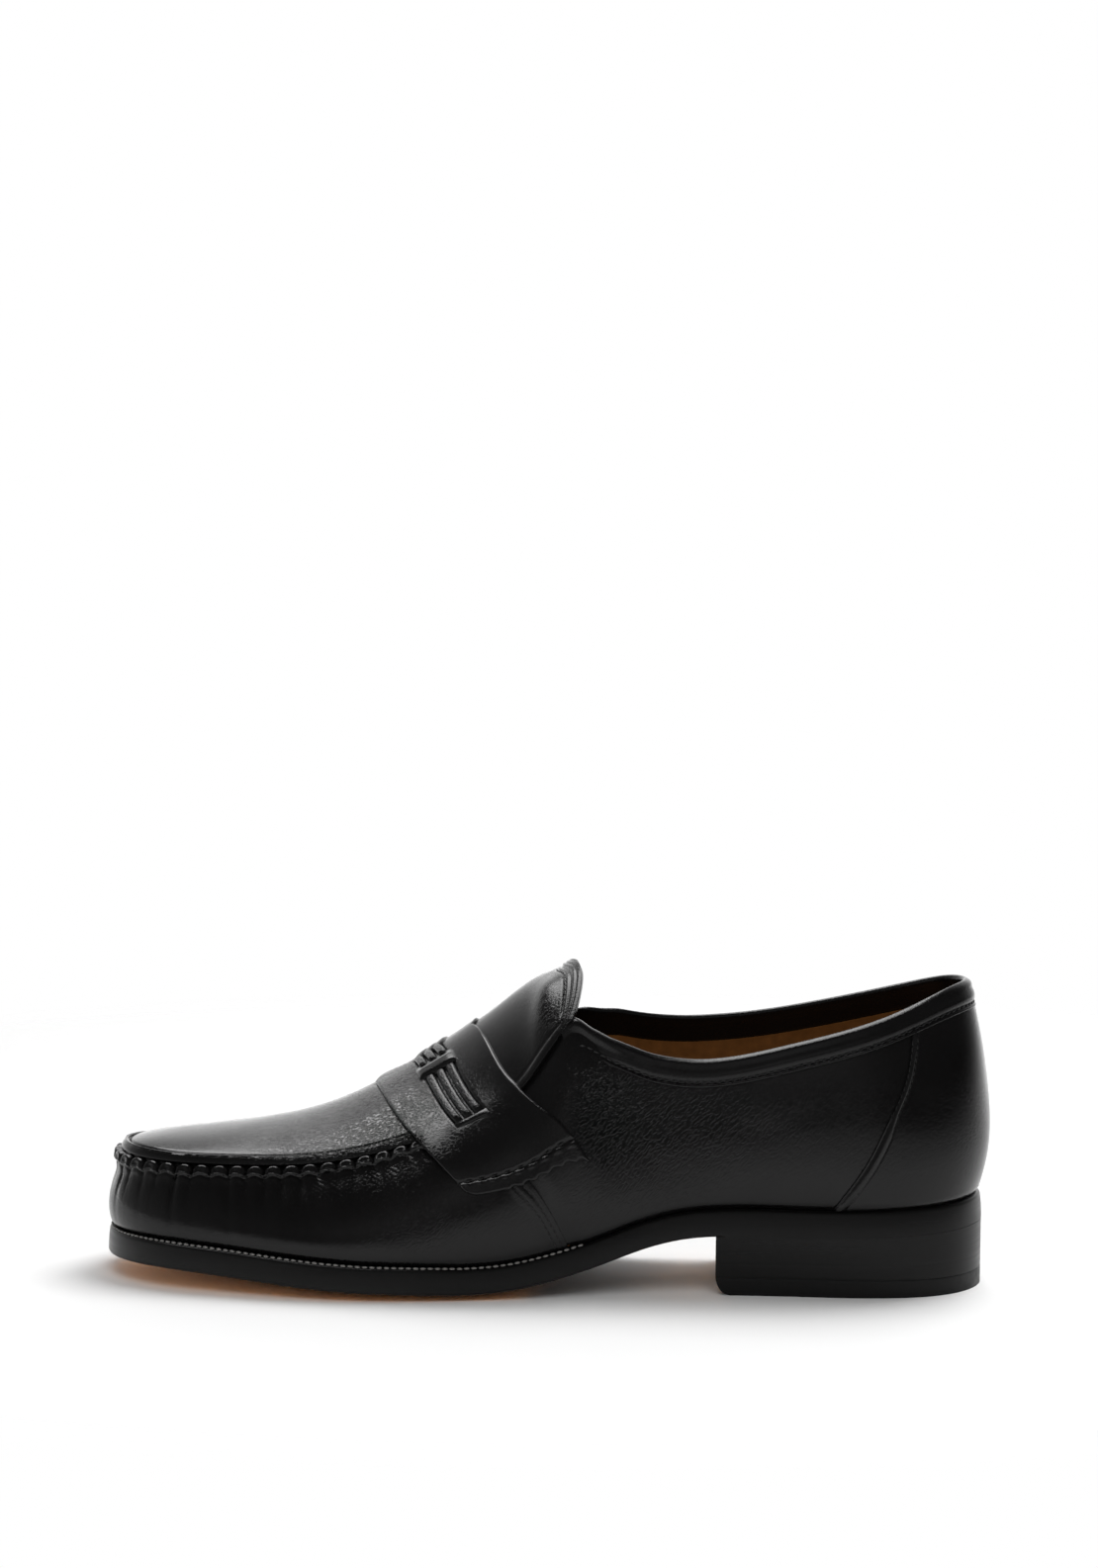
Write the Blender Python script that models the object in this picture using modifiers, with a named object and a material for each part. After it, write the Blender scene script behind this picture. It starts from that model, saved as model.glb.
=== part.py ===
"""Strap loafer with a moccasin toe, a left shoe of size 42: toe towards -X, outer side towards -Y.

The upper is drawn the way a last is. Sections from toe to heel give two lines: the foot line, where the
upper meets the sole, and the rim line, which is the apron's seam at the front and the collar at the back.
Smooth curves run through the sections, ribs bend from foot to rim, and hoops bridge the rims over the
toes and the instep. Every other leather piece is laid on that same surface.
"""

from functools import cache
from math import exp, hypot, radians

import bmesh
import bpy
import numpy as np

# Sizes in millimetres
MM = 0.001
GAP = 0.3
GAP_OVER_RIM = 0.5
WELD = 0.02
LEATHER = 2.0
OUTSOLE = 5.0
WELT = 3.4
WELT_STEP = 0.6
INSOLE = 2.5
INSOLE_INSET = LEATHER + 0.6
TOP_PIECE = 6.0
HEEL_BREAST = 90.5
HEEL_INSET = 0.4
HEEL_TAPER = 4.0
HEEL_ROUND = (4.5, 6.6)
APRON = 1.5
LIP_RISE = 1.9
LIP_REACH = 0.1
LIP_WIDTH = 2.6
STRAP = 1.8
STRIP = 1.0
TONGUE = 2.0
COUNTER = 1.1
COLLAR = 1.1
COLLAR_BAND = 7.5
COLLAR_FACING = 5.0
MIDDLE = (149.06, 1.04)

# Shares of a rib, a hoop or the sole's width, and places between numbered sections
RIB_PULL = 0.36
FLAT_SHARE = 0.35
APRON_SHARE = 0.999
TONGUE_SHARE = 0.98
COUNTER_SPAN = (0.02, 0.88)
THROAT_EDGE = 7 + 1 / 3
COLLAR_START = 0.07
TOE_TURN = 1.5
TOE_POLE = 0.04

# Steps of the meshes
STEPS_PER_SECTION = 3
WALL_STEPS = 8
HOOP_STEPS = 10

# The sections, with a measured from the back of the heel towards the toe, y to the inner side and z up.
# lat and med are the outer and the inner side; flare and lean are a rib's angles at foot and rim.
SECTION_COLUMNS = (
    "foot_a", "foot_lat", "foot_med", "rim_a", "rim_lat", "rim_med", "rim_z_lat", "rim_z_med",
    "flare_lat", "flare_med", "lean_lat", "lean_med", "welt",
)
SECTIONS = {
    "toe_tip":   (296.0, 3.0, 3.0, 291.6, 3.0, 3.0, 42.0, 42.0, 22, 22, 20, 20, 1.6),
    "toe_front": (290.5, -15.0, 20.5, 286.3, -12.5, 17.5, 42.0, 41.4, 22, 22, 22, 22, 1.8),
    "toe_side":  (275.0, -29.5, 34.0, 271.5, -23.0, 26.3, 41.8, 40.8, 20, 20, 26, 26, 2.2),
    "toe_back":  (250.0, -38.5, 43.0, 249.0, -28.0, 31.0, 42.0, 41.0, 18, 18, 32, 32, 2.5),
    "ball":      (215.0, -45.5, 48.0, 216.0, -30.5, 33.5, 44.2, 44.0, 16, 16, 42, 36, 2.5),
    "joint":     (187.0, -45.0, 42.5, 188.0, -30.0, 32.5, 51.6, 52.4, 14, 12, 52, 16, 2.3),
    "strap":     (166.0, -42.0, 36.5, 167.0, -28.5, 31.0, 61.5, 62.0, 12, 8, 47, 10, 2.0),
    "tongue":    (150.0, -39.5, 32.5, 151.0, -26.0, 28.5, 75.0, 74.0, 10, 5, 41, 9, 1.8),
    "throat":    (137.0, -37.0, 30.0, 138.5, -24.0, 26.0, 90.0, 84.5, 10, 4, 34, 9, 1.7),
    "quarter":   (121.0, -34.5, 27.8, 123.0, -26.5, 28.0, 83.3, 83.0, 10, 3, 18, 12, 1.6),
    "waist":     (98.0, -32.0, 27.0, 98.0, -28.5, 28.5, 77.5, 82.7, 12, 4, 14, 12, 1.6),
    "seat":      (66.0, -30.5, 29.0, 66.0, -28.0, 28.0, 83.3, 86.6, 14, 10, 14, 14, 1.6),
    "heel":      (34.0, -29.0, 28.5, 34.0, -23.5, 23.5, 92.3, 94.4, 14, 14, 16, 16, 1.8),
    "heel_turn": (14.0, -20.0, 20.0, 15.5, -14.0, 14.0, 99.4, 99.8, 15, 15, 16, 16, 2.3),
    "heel_back": (5.4, 0.0, 0.0, 8.5, 0.0, 0.0, 100.8, 100.8, 15, 15, 14, 14, 2.6),
}
# The ridge of the apron and the tongue, section by section: a, y, z, fullness and tilt. Fullness keeps a
# hoop wide near its ends, and tilt makes it steeper on the inner side, as an instep is.
CROWN = {
    "toe_tip":   (291.6, 3.0, 42.0, 0.30, 0.0),
    "toe_front": (286.3, 3.0, 42.9, 0.30, 0.0),
    "toe_side":  (271.5, 4.0, 44.5, 0.30, 0.05),
    "toe_back":  (249.0, 5.5, 47.2, 0.29, 0.10),
    "ball":      (216.0, 7.5, 56.2, 0.28, 0.18),
    "joint":     (189.0, 10.5, 71.2, 0.28, 0.25),
    "strap":     (169.0, 10.5, 84.8, 0.27, 0.25),
    "tongue":    (153.5, 9.0, 96.2, 0.25, 0.20),
    "throat":    (140.5, 7.5, 104.6, 0.24, 0.12),
}
# The outsole's underside: a, z on its middle line, and how much higher its edge is.
SOLE = (
    (0.0, 22.3, 0.0), (25.0, 21.0, 0.0), (60.0, 20.3, 0.0), (92.0, 20.3, 0.1), (103.0, 18.9, 0.3),
    (116.0, 15.0, 0.7), (128.0, 10.2, 1.0), (145.0, 4.6, 1.3), (160.0, 1.2, 1.6), (174.0, 0.0, 1.9),
    (206.0, 0.0, 2.6), (230.0, 1.2, 2.9), (248.0, 2.7, 2.9), (278.0, 5.0, 1.9), (298.0, 6.2, 0.0),
)
# The strap's edges: q, front a and rear a. Across the foot q is 0 on the ridge, 1 on the rims and 2 on the
# foot lines. The reach is the q of the strap's ends, at its front and rear edge.
STRAP_EDGES = ((0.0, 206.0, 173.0), (0.5, 200.5, 166.0), (1.0, 190.5, 153.5), (1.6, 169.0, 132.0))
STRAP_REACH = (1.47, 1.54)
# The woven strips: shares of the strap's width, and their reach in q on the outer and the inner side.
STRIP_SPANS = ((0.40, 0.478), (0.492, 0.57), (0.584, 0.662))
STRIP_REACH = {"lateral": (-1.02, -0.43), "medial": (-0.23, 0.36)}
# The counter's front edge: z and a.
COUNTER_EDGE = ((30.2, 51.7), (43.9, 42.2), (58.4, 34.9), (70.9, 29.4), (87.0, 27.1), (100.0, 27.0))
# The collar binding's section: distance out from the wall and up from the rim, for its inner face, then
# for its outer face.
COLLAR_SECTION = (
    (GAP, -COLLAR_BAND, GAP + COLLAR, -COLLAR_BAND),
    (GAP, -2.0, GAP + COLLAR, -2.0),
    (GAP, GAP, GAP + 0.7 * COLLAR, GAP + 0.7 * COLLAR),
    (-LEATHER / 2, GAP, -LEATHER / 2, GAP + COLLAR),
    (-LEATHER - GAP, GAP, -LEATHER - GAP - 0.7 * COLLAR, GAP + 0.7 * COLLAR),
    (-LEATHER - GAP, -COLLAR_FACING, -LEATHER - GAP - COLLAR, -COLLAR_FACING),
)
MATERIALS = {
    "outsole": ((0.010, 0.009, 0.008), 0.45),
    "welt": ((0.012, 0.011, 0.010), 0.50),
    "heel_stack": ((0.010, 0.009, 0.008), 0.42),
    "heel_top_piece": ((0.012, 0.012, 0.012), 0.60),
    "insole": ((0.300, 0.140, 0.040), 0.60),
    "upper": ((0.012, 0.011, 0.011), 0.32),
    "apron": ((0.012, 0.011, 0.011), 0.30),
    "strap": ((0.012, 0.011, 0.011), 0.30),
    "tongue": ((0.012, 0.011, 0.011), 0.30),
    "collar": ((0.012, 0.011, 0.011), 0.34),
    "counter": ((0.012, 0.011, 0.011), 0.32),
    "strip": ((0.012, 0.011, 0.011), 0.28),
}


def spline(knots, values, closed):
    """A cubic spline through rows of values, either closed or with free ends."""
    x = np.asarray(knots, float)
    v = np.asarray(values, float)
    last = len(x) - 1
    h = np.diff(x)
    matrix = np.zeros((last + 1, last + 1))
    right = np.zeros_like(v)
    slopes = np.diff(v, axis=0) / h[:, None]
    for i in range(1, last):
        matrix[i, i - 1 : i + 2] = h[i - 1], 2 * (h[i - 1] + h[i]), h[i]
        right[i] = 6 * (slopes[i] - slopes[i - 1])
    if closed:
        matrix[0, 0], matrix[0, last] = 1, -1
        matrix[last, 0], matrix[last, 1] = 2 * h[0], h[0]
        matrix[last, last - 1], matrix[last, last] = h[-1], 2 * h[-1]
        right[last] = 6 * (slopes[0] - slopes[-1])
    else:
        matrix[0, 0] = matrix[last, last] = 1
    bend = np.linalg.solve(matrix, right)

    def curve(t):
        if closed:
            t = x[0] + (t - x[0]) % (x[-1] - x[0])
        i = min(max(int(np.searchsorted(x, t, side="right")) - 1, 0), last - 1)
        d = t - x[i]
        slope = slopes[i] - h[i] * (2 * bend[i] + bend[i + 1]) / 6
        return v[i] + d * slope + d**2 * bend[i] / 2 + d**3 * (bend[i + 1] - bend[i]) / (6 * h[i])

    return curve


def unit(vector):
    return vector / np.linalg.norm(vector)


def rail_rows():
    """The sections as one closed round: along the outer side to the heel, back along the inner side."""
    rows = []
    sections = [dict(zip(SECTION_COLUMNS, row)) for row in SECTIONS.values()]
    for side, order in (("lat", sections), ("med", sections[-2:0:-1])):
        for s in order:
            rows.append((
                s["foot_a"], s["foot_" + side], s["rim_a"], s["rim_" + side], s["rim_z_" + side],
                s["flare_" + side], s["lean_" + side], s["welt"],
            ))
    return np.array(rows + rows[:1])


RAILS = rail_rows()
ROUND = len(RAILS) - 1
HEEL_ROW = ROUND // 2
THROAT_ROW = list(SECTIONS).index("throat")
KNOTS = np.concatenate([[0.0], np.cumsum(np.hypot(*np.diff(RAILS[:, :2], axis=0).T))])
RAIL_CURVE = spline(KNOTS, RAILS, True)
CROWN_CURVE = spline(KNOTS[: len(CROWN)], list(CROWN.values()), False)
SOLE_CURVE = spline([row[0] for row in SOLE], [row[1:] for row in SOLE], False)


def along(r):
    """Distance along the foot line at section number r, which may lie between sections."""
    r = r % ROUND
    return float(np.interp(r, range(ROUND + 1), KNOTS))


def rails(r):
    return RAIL_CURVE(along(r))


def outward(r):
    """The level direction away from the shoe at section number r."""
    s = along(r)
    da, dy = (RAIL_CURVE(s + 0.5) - RAIL_CURVE(s - 0.5))[:2]
    return unit(np.array((-dy, da, 0.0)))


def sole_under(a, share):
    """Height of the outsole's underside; share is 0 on its middle line and 1 at its edge."""
    z, rise = SOLE_CURVE(min(max(a, 0.0), SOLE[-1][0]))
    bend = max(0.0, abs(share) - FLAT_SHARE) / (1 - FLAT_SHARE)
    return max(z, 0.0) + rise * bend**2


def bezier(points, t):
    a, b, c, d = points
    return (1 - t) ** 3 * a + 3 * t * (1 - t) ** 2 * b + 3 * t * t * (1 - t) * c + t**3 * d


def wall(r, t):
    """A point on the outer face of the upper's wall, from the foot line (t = 0) to the rim (t = 1)."""
    foot_a, foot_y, rim_a, rim_y, rim_z, flare, lean, _ = rails(r)
    foot = np.array((foot_a, foot_y, sole_under(foot_a, 1) + OUTSOLE + GAP + WELT + GAP))
    rim = np.array((rim_a, rim_y, rim_z))
    out = outward(r)
    up = np.array((0.0, 0.0, 1.0))
    pull = RIB_PULL * np.linalg.norm(rim - foot)
    low = foot + pull * (np.sin(radians(flare)) * out + np.cos(radians(flare)) * up)
    high = rim - pull * (np.cos(radians(lean)) * up - np.sin(radians(lean)) * out)
    return bezier((foot, low, high, rim), t)


def hoop(r, w):
    """A point on the arch between the two rims, from the outer (w = -1) to the inner side (w = 1)."""
    lat = rails(r)[2:5]
    med = rails(ROUND - r)[2:5]
    a, y, z, fullness, tilt = CROWN_CURVE(along(r))
    middle = (lat + med) / 2
    lift = (np.array((a, y, z)) - middle) / 0.75
    spread = np.array((0.0, fullness * (med[1] - lat[1]), -tilt * lift[2]))
    return bezier((lat, lat + lift + spread, med + lift - spread, med), (w + 1) / 2)


def skin(r, q):
    """The upper's whole outer face at section r: outer wall, arch and inner wall, q from -2 to 2."""
    if q < -1:
        return wall(r, 2 + q)
    if q > 1:
        return wall(ROUND - r, 2 - q)
    return hoop(r, q)


def raised(face, u, v, height):
    """A point above a face of two parameters, along the face's outward normal."""
    du, dv = 0.03, 0.02
    along_u = face(u + du, v) - face(u - du, v)
    along_v = face(u, v + dv) - face(u, v - dv)
    normal = unit(np.cross(along_v, along_u))
    return face(u, v) + normal * height


@cache
def row_at(a, q):
    """The section number at which the skin's line q reaches station a."""
    rows = np.linspace(1.0, THROAT_ROW + 1.5, 86)
    stations = [skin(r, q)[0] for r in rows]
    return float(np.interp(-a, [-s for s in stations], rows))


def lens(r, w, outset):
    """A point of a sole-shaped outline filled across: r from the toe to the heel, w from side to side."""
    lat = rails(r)[:2] + outset(r) * outward(r)[:2]
    med = rails(ROUND - r)[:2] + outset(ROUND - r) * outward(ROUND - r)[:2]
    return lat + (med - lat) * (w + 1) / 2


def world(point):
    a, y, z = point
    return ((MIDDLE[0] - a) * MM, (y - MIDDLE[1]) * MM, z * MM)


def finish(bm, name, material=None):
    bmesh.ops.remove_doubles(bm, verts=bm.verts, dist=WELD * MM)
    bmesh.ops.recalc_face_normals(bm, faces=bm.faces)
    mesh = bpy.data.meshes.new(name)
    bm.to_mesh(mesh)
    bm.free()
    mesh.shade_smooth()
    mesh.set_sharp_from_angle(angle=radians(40))
    part = bpy.data.objects.new(name, mesh)
    shoe.objects.link(part)
    mesh.materials.append(materials[material or name])
    return part


def grid(bm, columns, rows, place):
    """A grid whose corners run from (0, 0) to (1, 1), each vertex moved where place says."""
    made = bmesh.ops.create_grid(bm, x_segments=columns, y_segments=rows, size=0.5)["verts"]
    for vert in made:
        vert.co = world(place(vert.co.x + 0.5, vert.co.y + 0.5))


def slab(name, columns, rows, place, material=None):
    """A grid extruded into a slab, each vertex moved where place says; layer is 0 below and 1 above."""
    bm = bmesh.new()
    bmesh.ops.create_grid(bm, x_segments=columns, y_segments=rows, size=0.5)
    top = bmesh.ops.extrude_face_region(bm, geom=bm.faces[:])["geom"]
    moved = [item for item in top if isinstance(item, bmesh.types.BMVert)]
    bmesh.ops.translate(bm, verts=moved, vec=(0, 0, 1))
    for vert in bm.verts:
        vert.co = world(place(vert.co.x + 0.5, vert.co.y + 0.5, vert.co.z))
    return finish(bm, name, material)


for old in list(bpy.data.objects):
    bpy.data.objects.remove(old, do_unlink=True)
shoe = bpy.data.collections.new("strap_loafer")
bpy.context.scene.collection.children.link(shoe)
materials = {}
for name, (colour, roughness) in MATERIALS.items():
    materials[name] = bpy.data.materials.new(name)
    materials[name].use_nodes = True
    shader = materials[name].node_tree.nodes["Principled BSDF"]
    shader.inputs["Base Color"].default_value = (*colour, 1)
    shader.inputs["Roughness"].default_value = roughness


# The sole's layers, each following the outsole's underside

def sole_layer(name, low, thick, outset, columns, rows):
    def place(u, v, layer):
        r, w = u * HEEL_ROW, 2 * v - 1
        a, y = lens(r, w, outset)
        return a, y, sole_under(a, max(abs(w), 1 - r / TOE_TURN)) + low + layer * thick

    slab(name, columns, rows, place)


sole_layer("outsole", 0.0, OUTSOLE, lambda r: rails(r)[7], 42, 6)
sole_layer("welt", OUTSOLE + GAP, WELT, lambda r: rails(r)[7] - WELT_STEP, 42, 6)
sole_layer("insole", OUTSOLE + WELT + 2 * GAP, INSOLE, lambda r: -INSOLE_INSET, 28, 4)


# The heel: a stack and a top piece, rounded at the lower front edge

def row_at_foot(a):
    rows = np.linspace(8.0, 13.0, 101)
    return float(np.interp(-a, [-rails(r)[0] for r in rows], rows))


def heel_layer(name, low, high):
    breast = row_at_foot(HEEL_BREAST)

    def place(u, v, layer):
        r, share = breast + u * (HEEL_ROW - breast), 2 * v - 1
        z = high(lens(r, share, lambda row: 0.0)[0], share) if layer else low
        taper = HEEL_TAPER * (1 - u) ** 2 * (1 - z / SOLE[0][1])
        a, y = lens(r, share, lambda row: rails(row)[7] - HEEL_INSET - taper)
        a -= HEEL_ROUND[0] * max(0.0, 1 - z / HEEL_ROUND[1]) ** 2 * (1 - u) ** 6
        return a, y, z

    slab(name, 14, 4, place)


heel_layer("heel_top_piece", 0.0, lambda a, share: TOP_PIECE)
heel_layer("heel_stack", TOP_PIECE + GAP, lambda a, share: sole_under(a, share) - GAP)


# The upper: walls all round and the arch over the toes and instep, in one sheet with its thickness inside

bm = bmesh.new()
grid(bm, ROUND * STEPS_PER_SECTION, WALL_STEPS, lambda u, v: wall(u * ROUND, v))
arch_columns = round(THROAT_EDGE * STEPS_PER_SECTION)
grid(bm, arch_columns, HOOP_STEPS, lambda u, v: hoop(u * THROAT_EDGE, 2 * v - 1))
upper = finish(bm, "upper")
thickness = upper.modifiers.new("thickness", "SOLIDIFY")
thickness.thickness = LEATHER * MM
thickness.offset = -1
thickness.use_even_offset = True


# The apron, with its edge curled up into a lip along the seam

RIM_SAMPLES = [(rails(r)[2:4], outward(r)) for r in np.linspace(-4.6, 4.6, 231)]


def lip(point):
    """How far the apron's edge curls up and out at a point, fading away from the seam."""
    distance, out = min(((hypot(*(point[:2] - rim)), out) for rim, out in RIM_SAMPLES), key=lambda x: x[0])
    curl = exp(-((distance / LIP_WIDTH) ** 2))
    return curl * (LIP_REACH * out + LIP_RISE * np.array((0.0, 0.0, 1.0)))


STRAP_FRONT = spline([row[0] for row in STRAP_EDGES], [row[1:2] for row in STRAP_EDGES], False)
STRAP_REAR = spline([row[0] for row in STRAP_EDGES], [row[2:3] for row in STRAP_EDGES], False)


def strap_a(q, share):
    front, rear = STRAP_FRONT(abs(q))[0], STRAP_REAR(abs(q))[0]
    return front + (rear - front) * share


def apron_place(u, v, layer):
    w = 2 * v - 1
    r = max(u * row_at(strap_a(w, 0) + GAP_OVER_RIM, w), TOE_POLE)
    return raised(skin, r, w * APRON_SHARE, GAP + layer * APRON) + lip(hoop(r, w))


slab("apron", 14, 16, apron_place)


# The strap, its woven strips, and the tongue behind it

def strap_point(across, share, height):
    q = across * (STRAP_REACH[0] + (STRAP_REACH[1] - STRAP_REACH[0]) * share)
    return raised(skin, row_at(strap_a(q, share), q), q, height)


slab("strap", 26, 4, lambda u, v, layer: strap_point(2 * u - 1, v, GAP_OVER_RIM + layer * STRAP))
for side, (start, end) in STRIP_REACH.items():
    for number, (front, rear) in enumerate(STRIP_SPANS, 1):
        def strip_place(u, v, layer):
            across = (start + (end - start) * u) / STRAP_REACH[0]
            height = GAP_OVER_RIM + STRAP + GAP + layer * STRIP
            return strap_point(across, front + (rear - front) * v, height)

        slab(f"strip_{side}_{number}", 6, 1, strip_place, "strip")


def tongue_place(u, v, layer):
    w = (2 * u - 1) * TONGUE_SHARE
    first = row_at(strap_a(w, 1) - GAP_OVER_RIM, w)
    return raised(skin, first + (THROAT_ROW - first) * v, w, GAP_OVER_RIM + layer * TONGUE)


slab("tongue", 14, 6, tongue_place)


# The counter round the heel and the binding along the collar

@cache
def rib_length(r):
    points = [wall(r, t) for t in np.linspace(0, 1, 9)]
    return sum(np.linalg.norm(b - a) for a, b in zip(points, points[1:]))


@cache
def counter_row(t):
    """The section number at which the counter's front edge crosses the ribs at t."""
    rows = np.linspace(9.5, 13.6, 42)
    over = []
    for r in rows:
        a, _, z = wall(r, t)
        over.append(np.interp(z, [e[0] for e in COUNTER_EDGE], [e[1] for e in COUNTER_EDGE]) - a)
    return float(np.interp(0.0, over, rows))


def counter_place(u, v, layer):
    low, high = COUNTER_SPAN
    first = counter_row(low + (high - low) * v)
    r = first + (ROUND - 2 * first) * u
    top = 1 - (COLLAR_BAND + GAP_OVER_RIM) / rib_length(r)
    return raised(wall, r, low + (top - low) * v, GAP + layer * COUNTER)


slab("counter", 24, 7, counter_place)


def collar_place(u, v, layer):
    first = THROAT_ROW + COLLAR_START
    r = first + (ROUND - 2 * first) * u
    row = COLLAR_SECTION[round(v * (len(COLLAR_SECTION) - 1))]
    x, z = row[2:] if layer else row[:2]
    t = 1 + z / rib_length(r)
    return raised(wall, r, t, x)


slab("collar", 40, len(COLLAR_SECTION) - 1, collar_place)
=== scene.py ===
# %% [markdown]
# # A black strap loafer
# The imported solids give this left shoe its true form and place. Here each of them is dressed in fine
# leather, thread and edge wax. The frame is loaded first.

import bmesh
import bpy
import numpy as np
from mathutils import Matrix, Vector


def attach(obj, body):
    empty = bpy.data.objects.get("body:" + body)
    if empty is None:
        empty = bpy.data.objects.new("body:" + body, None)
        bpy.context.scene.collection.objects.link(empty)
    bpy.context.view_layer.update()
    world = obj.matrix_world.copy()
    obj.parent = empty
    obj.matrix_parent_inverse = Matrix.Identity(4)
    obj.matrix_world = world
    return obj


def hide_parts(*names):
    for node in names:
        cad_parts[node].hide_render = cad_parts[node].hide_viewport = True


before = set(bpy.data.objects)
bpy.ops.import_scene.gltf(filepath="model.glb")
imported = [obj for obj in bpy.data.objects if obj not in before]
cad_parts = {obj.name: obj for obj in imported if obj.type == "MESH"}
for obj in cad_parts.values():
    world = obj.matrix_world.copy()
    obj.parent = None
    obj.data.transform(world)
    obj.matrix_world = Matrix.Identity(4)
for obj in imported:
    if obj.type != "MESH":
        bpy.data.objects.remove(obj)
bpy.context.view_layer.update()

scene = bpy.context.scene
MM = 0.001

# %% [markdown]
# ## The last
# A shoe is pulled over a wooden last, so one smooth surface decides where every piece lies. It could be
# read back from the solids, but their facets are too coarse for stitches half a millimetre high. So the
# last's own sections are repeated here, in millimetres: a runs from the back of the heel towards the toe,
# y towards the inner side and z up. The foot line is where the leather meets the sole. The rim line is the
# apron's seam at the front and the collar at the back.

# %% Sections of the last
SECTION_COLUMNS = (
    "foot_a", "foot_lat", "foot_med", "rim_a", "rim_lat", "rim_med", "rim_z_lat", "rim_z_med",
    "flare_lat", "flare_med", "lean_lat", "lean_med", "welt",
)
SECTIONS = {
    "toe_tip":   (296.0, 3.0, 3.0, 291.6, 3.0, 3.0, 42.0, 42.0, 22, 22, 20, 20, 1.6),
    "toe_front": (290.5, -15.0, 20.5, 286.3, -12.5, 17.5, 42.0, 41.4, 22, 22, 22, 22, 1.8),
    "toe_side":  (275.0, -29.5, 34.0, 271.5, -23.0, 26.3, 41.8, 40.8, 20, 20, 26, 26, 2.2),
    "toe_back":  (250.0, -38.5, 43.0, 249.0, -28.0, 31.0, 42.0, 41.0, 18, 18, 32, 32, 2.5),
    "ball":      (215.0, -45.5, 48.0, 216.0, -30.5, 33.5, 44.2, 44.0, 16, 16, 42, 36, 2.5),
    "joint":     (187.0, -45.0, 42.5, 188.0, -30.0, 32.5, 51.6, 52.4, 14, 12, 52, 16, 2.3),
    "strap":     (166.0, -42.0, 36.5, 167.0, -28.5, 31.0, 61.5, 62.0, 12, 8, 47, 10, 2.0),
    "tongue":    (150.0, -39.5, 32.5, 151.0, -26.0, 28.5, 75.0, 74.0, 10, 5, 41, 9, 1.8),
    "throat":    (137.0, -37.0, 30.0, 138.5, -24.0, 26.0, 90.0, 84.5, 10, 4, 34, 9, 1.7),
    "quarter":   (121.0, -34.5, 27.8, 123.0, -26.5, 28.0, 83.3, 83.0, 10, 3, 18, 12, 1.6),
    "waist":     (98.0, -32.0, 27.0, 98.0, -28.5, 28.5, 77.5, 82.7, 12, 4, 14, 12, 1.6),
    "seat":      (66.0, -30.5, 29.0, 66.0, -28.0, 28.0, 83.3, 86.6, 14, 10, 14, 14, 1.6),
    "heel":      (34.0, -29.0, 28.5, 34.0, -23.5, 23.5, 92.3, 94.4, 14, 14, 16, 16, 1.8),
    "heel_turn": (14.0, -20.0, 20.0, 15.5, -14.0, 14.0, 99.4, 99.8, 15, 15, 16, 16, 2.3),
    "heel_back": (5.4, 0.0, 0.0, 8.5, 0.0, 0.0, 100.8, 100.8, 15, 15, 14, 14, 2.6),
}
# The ridge over toes and instep: a, y, z, fullness near the rims and tilt towards the inner side
RIDGE = {
    "toe_tip":   (291.6, 3.0, 42.0, 0.30, 0.0),
    "toe_front": (286.3, 3.0, 42.9, 0.30, 0.0),
    "toe_side":  (271.5, 4.0, 44.5, 0.30, 0.05),
    "toe_back":  (249.0, 5.5, 47.2, 0.29, 0.10),
    "ball":      (216.0, 7.5, 56.2, 0.28, 0.18),
    "joint":     (189.0, 10.5, 71.2, 0.28, 0.25),
    "strap":     (169.0, 10.5, 84.8, 0.27, 0.25),
    "tongue":    (153.5, 9.0, 96.2, 0.25, 0.20),
    "throat":    (140.5, 7.5, 104.6, 0.24, 0.12),
}
# The sole's underside: a, z on its middle line and how much higher its edge is
SOLE_LINE = (
    (0.0, 22.3, 0.0), (25.0, 21.0, 0.0), (60.0, 20.3, 0.0), (92.0, 20.3, 0.1), (103.0, 18.9, 0.3),
    (116.0, 15.0, 0.7), (128.0, 10.2, 1.0), (145.0, 4.6, 1.3), (160.0, 1.2, 1.6), (174.0, 0.0, 1.9),
    (206.0, 0.0, 2.6), (230.0, 1.2, 2.9), (248.0, 2.7, 2.9), (278.0, 5.0, 1.9), (298.0, 6.2, 0.0),
)
print("sections", len(SECTIONS), "from toe to heel")

# %% [markdown]
# Cubic splines run through the sections, and they take whole arrays, because a fine mesh asks for a
# hundred thousand points. A row number says where on the last a point is: 0 at the toe's tip, 8 at the
# throat and 14 at the heel's back, with negative rows on the inner side.

# %% Curves through the sections


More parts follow.
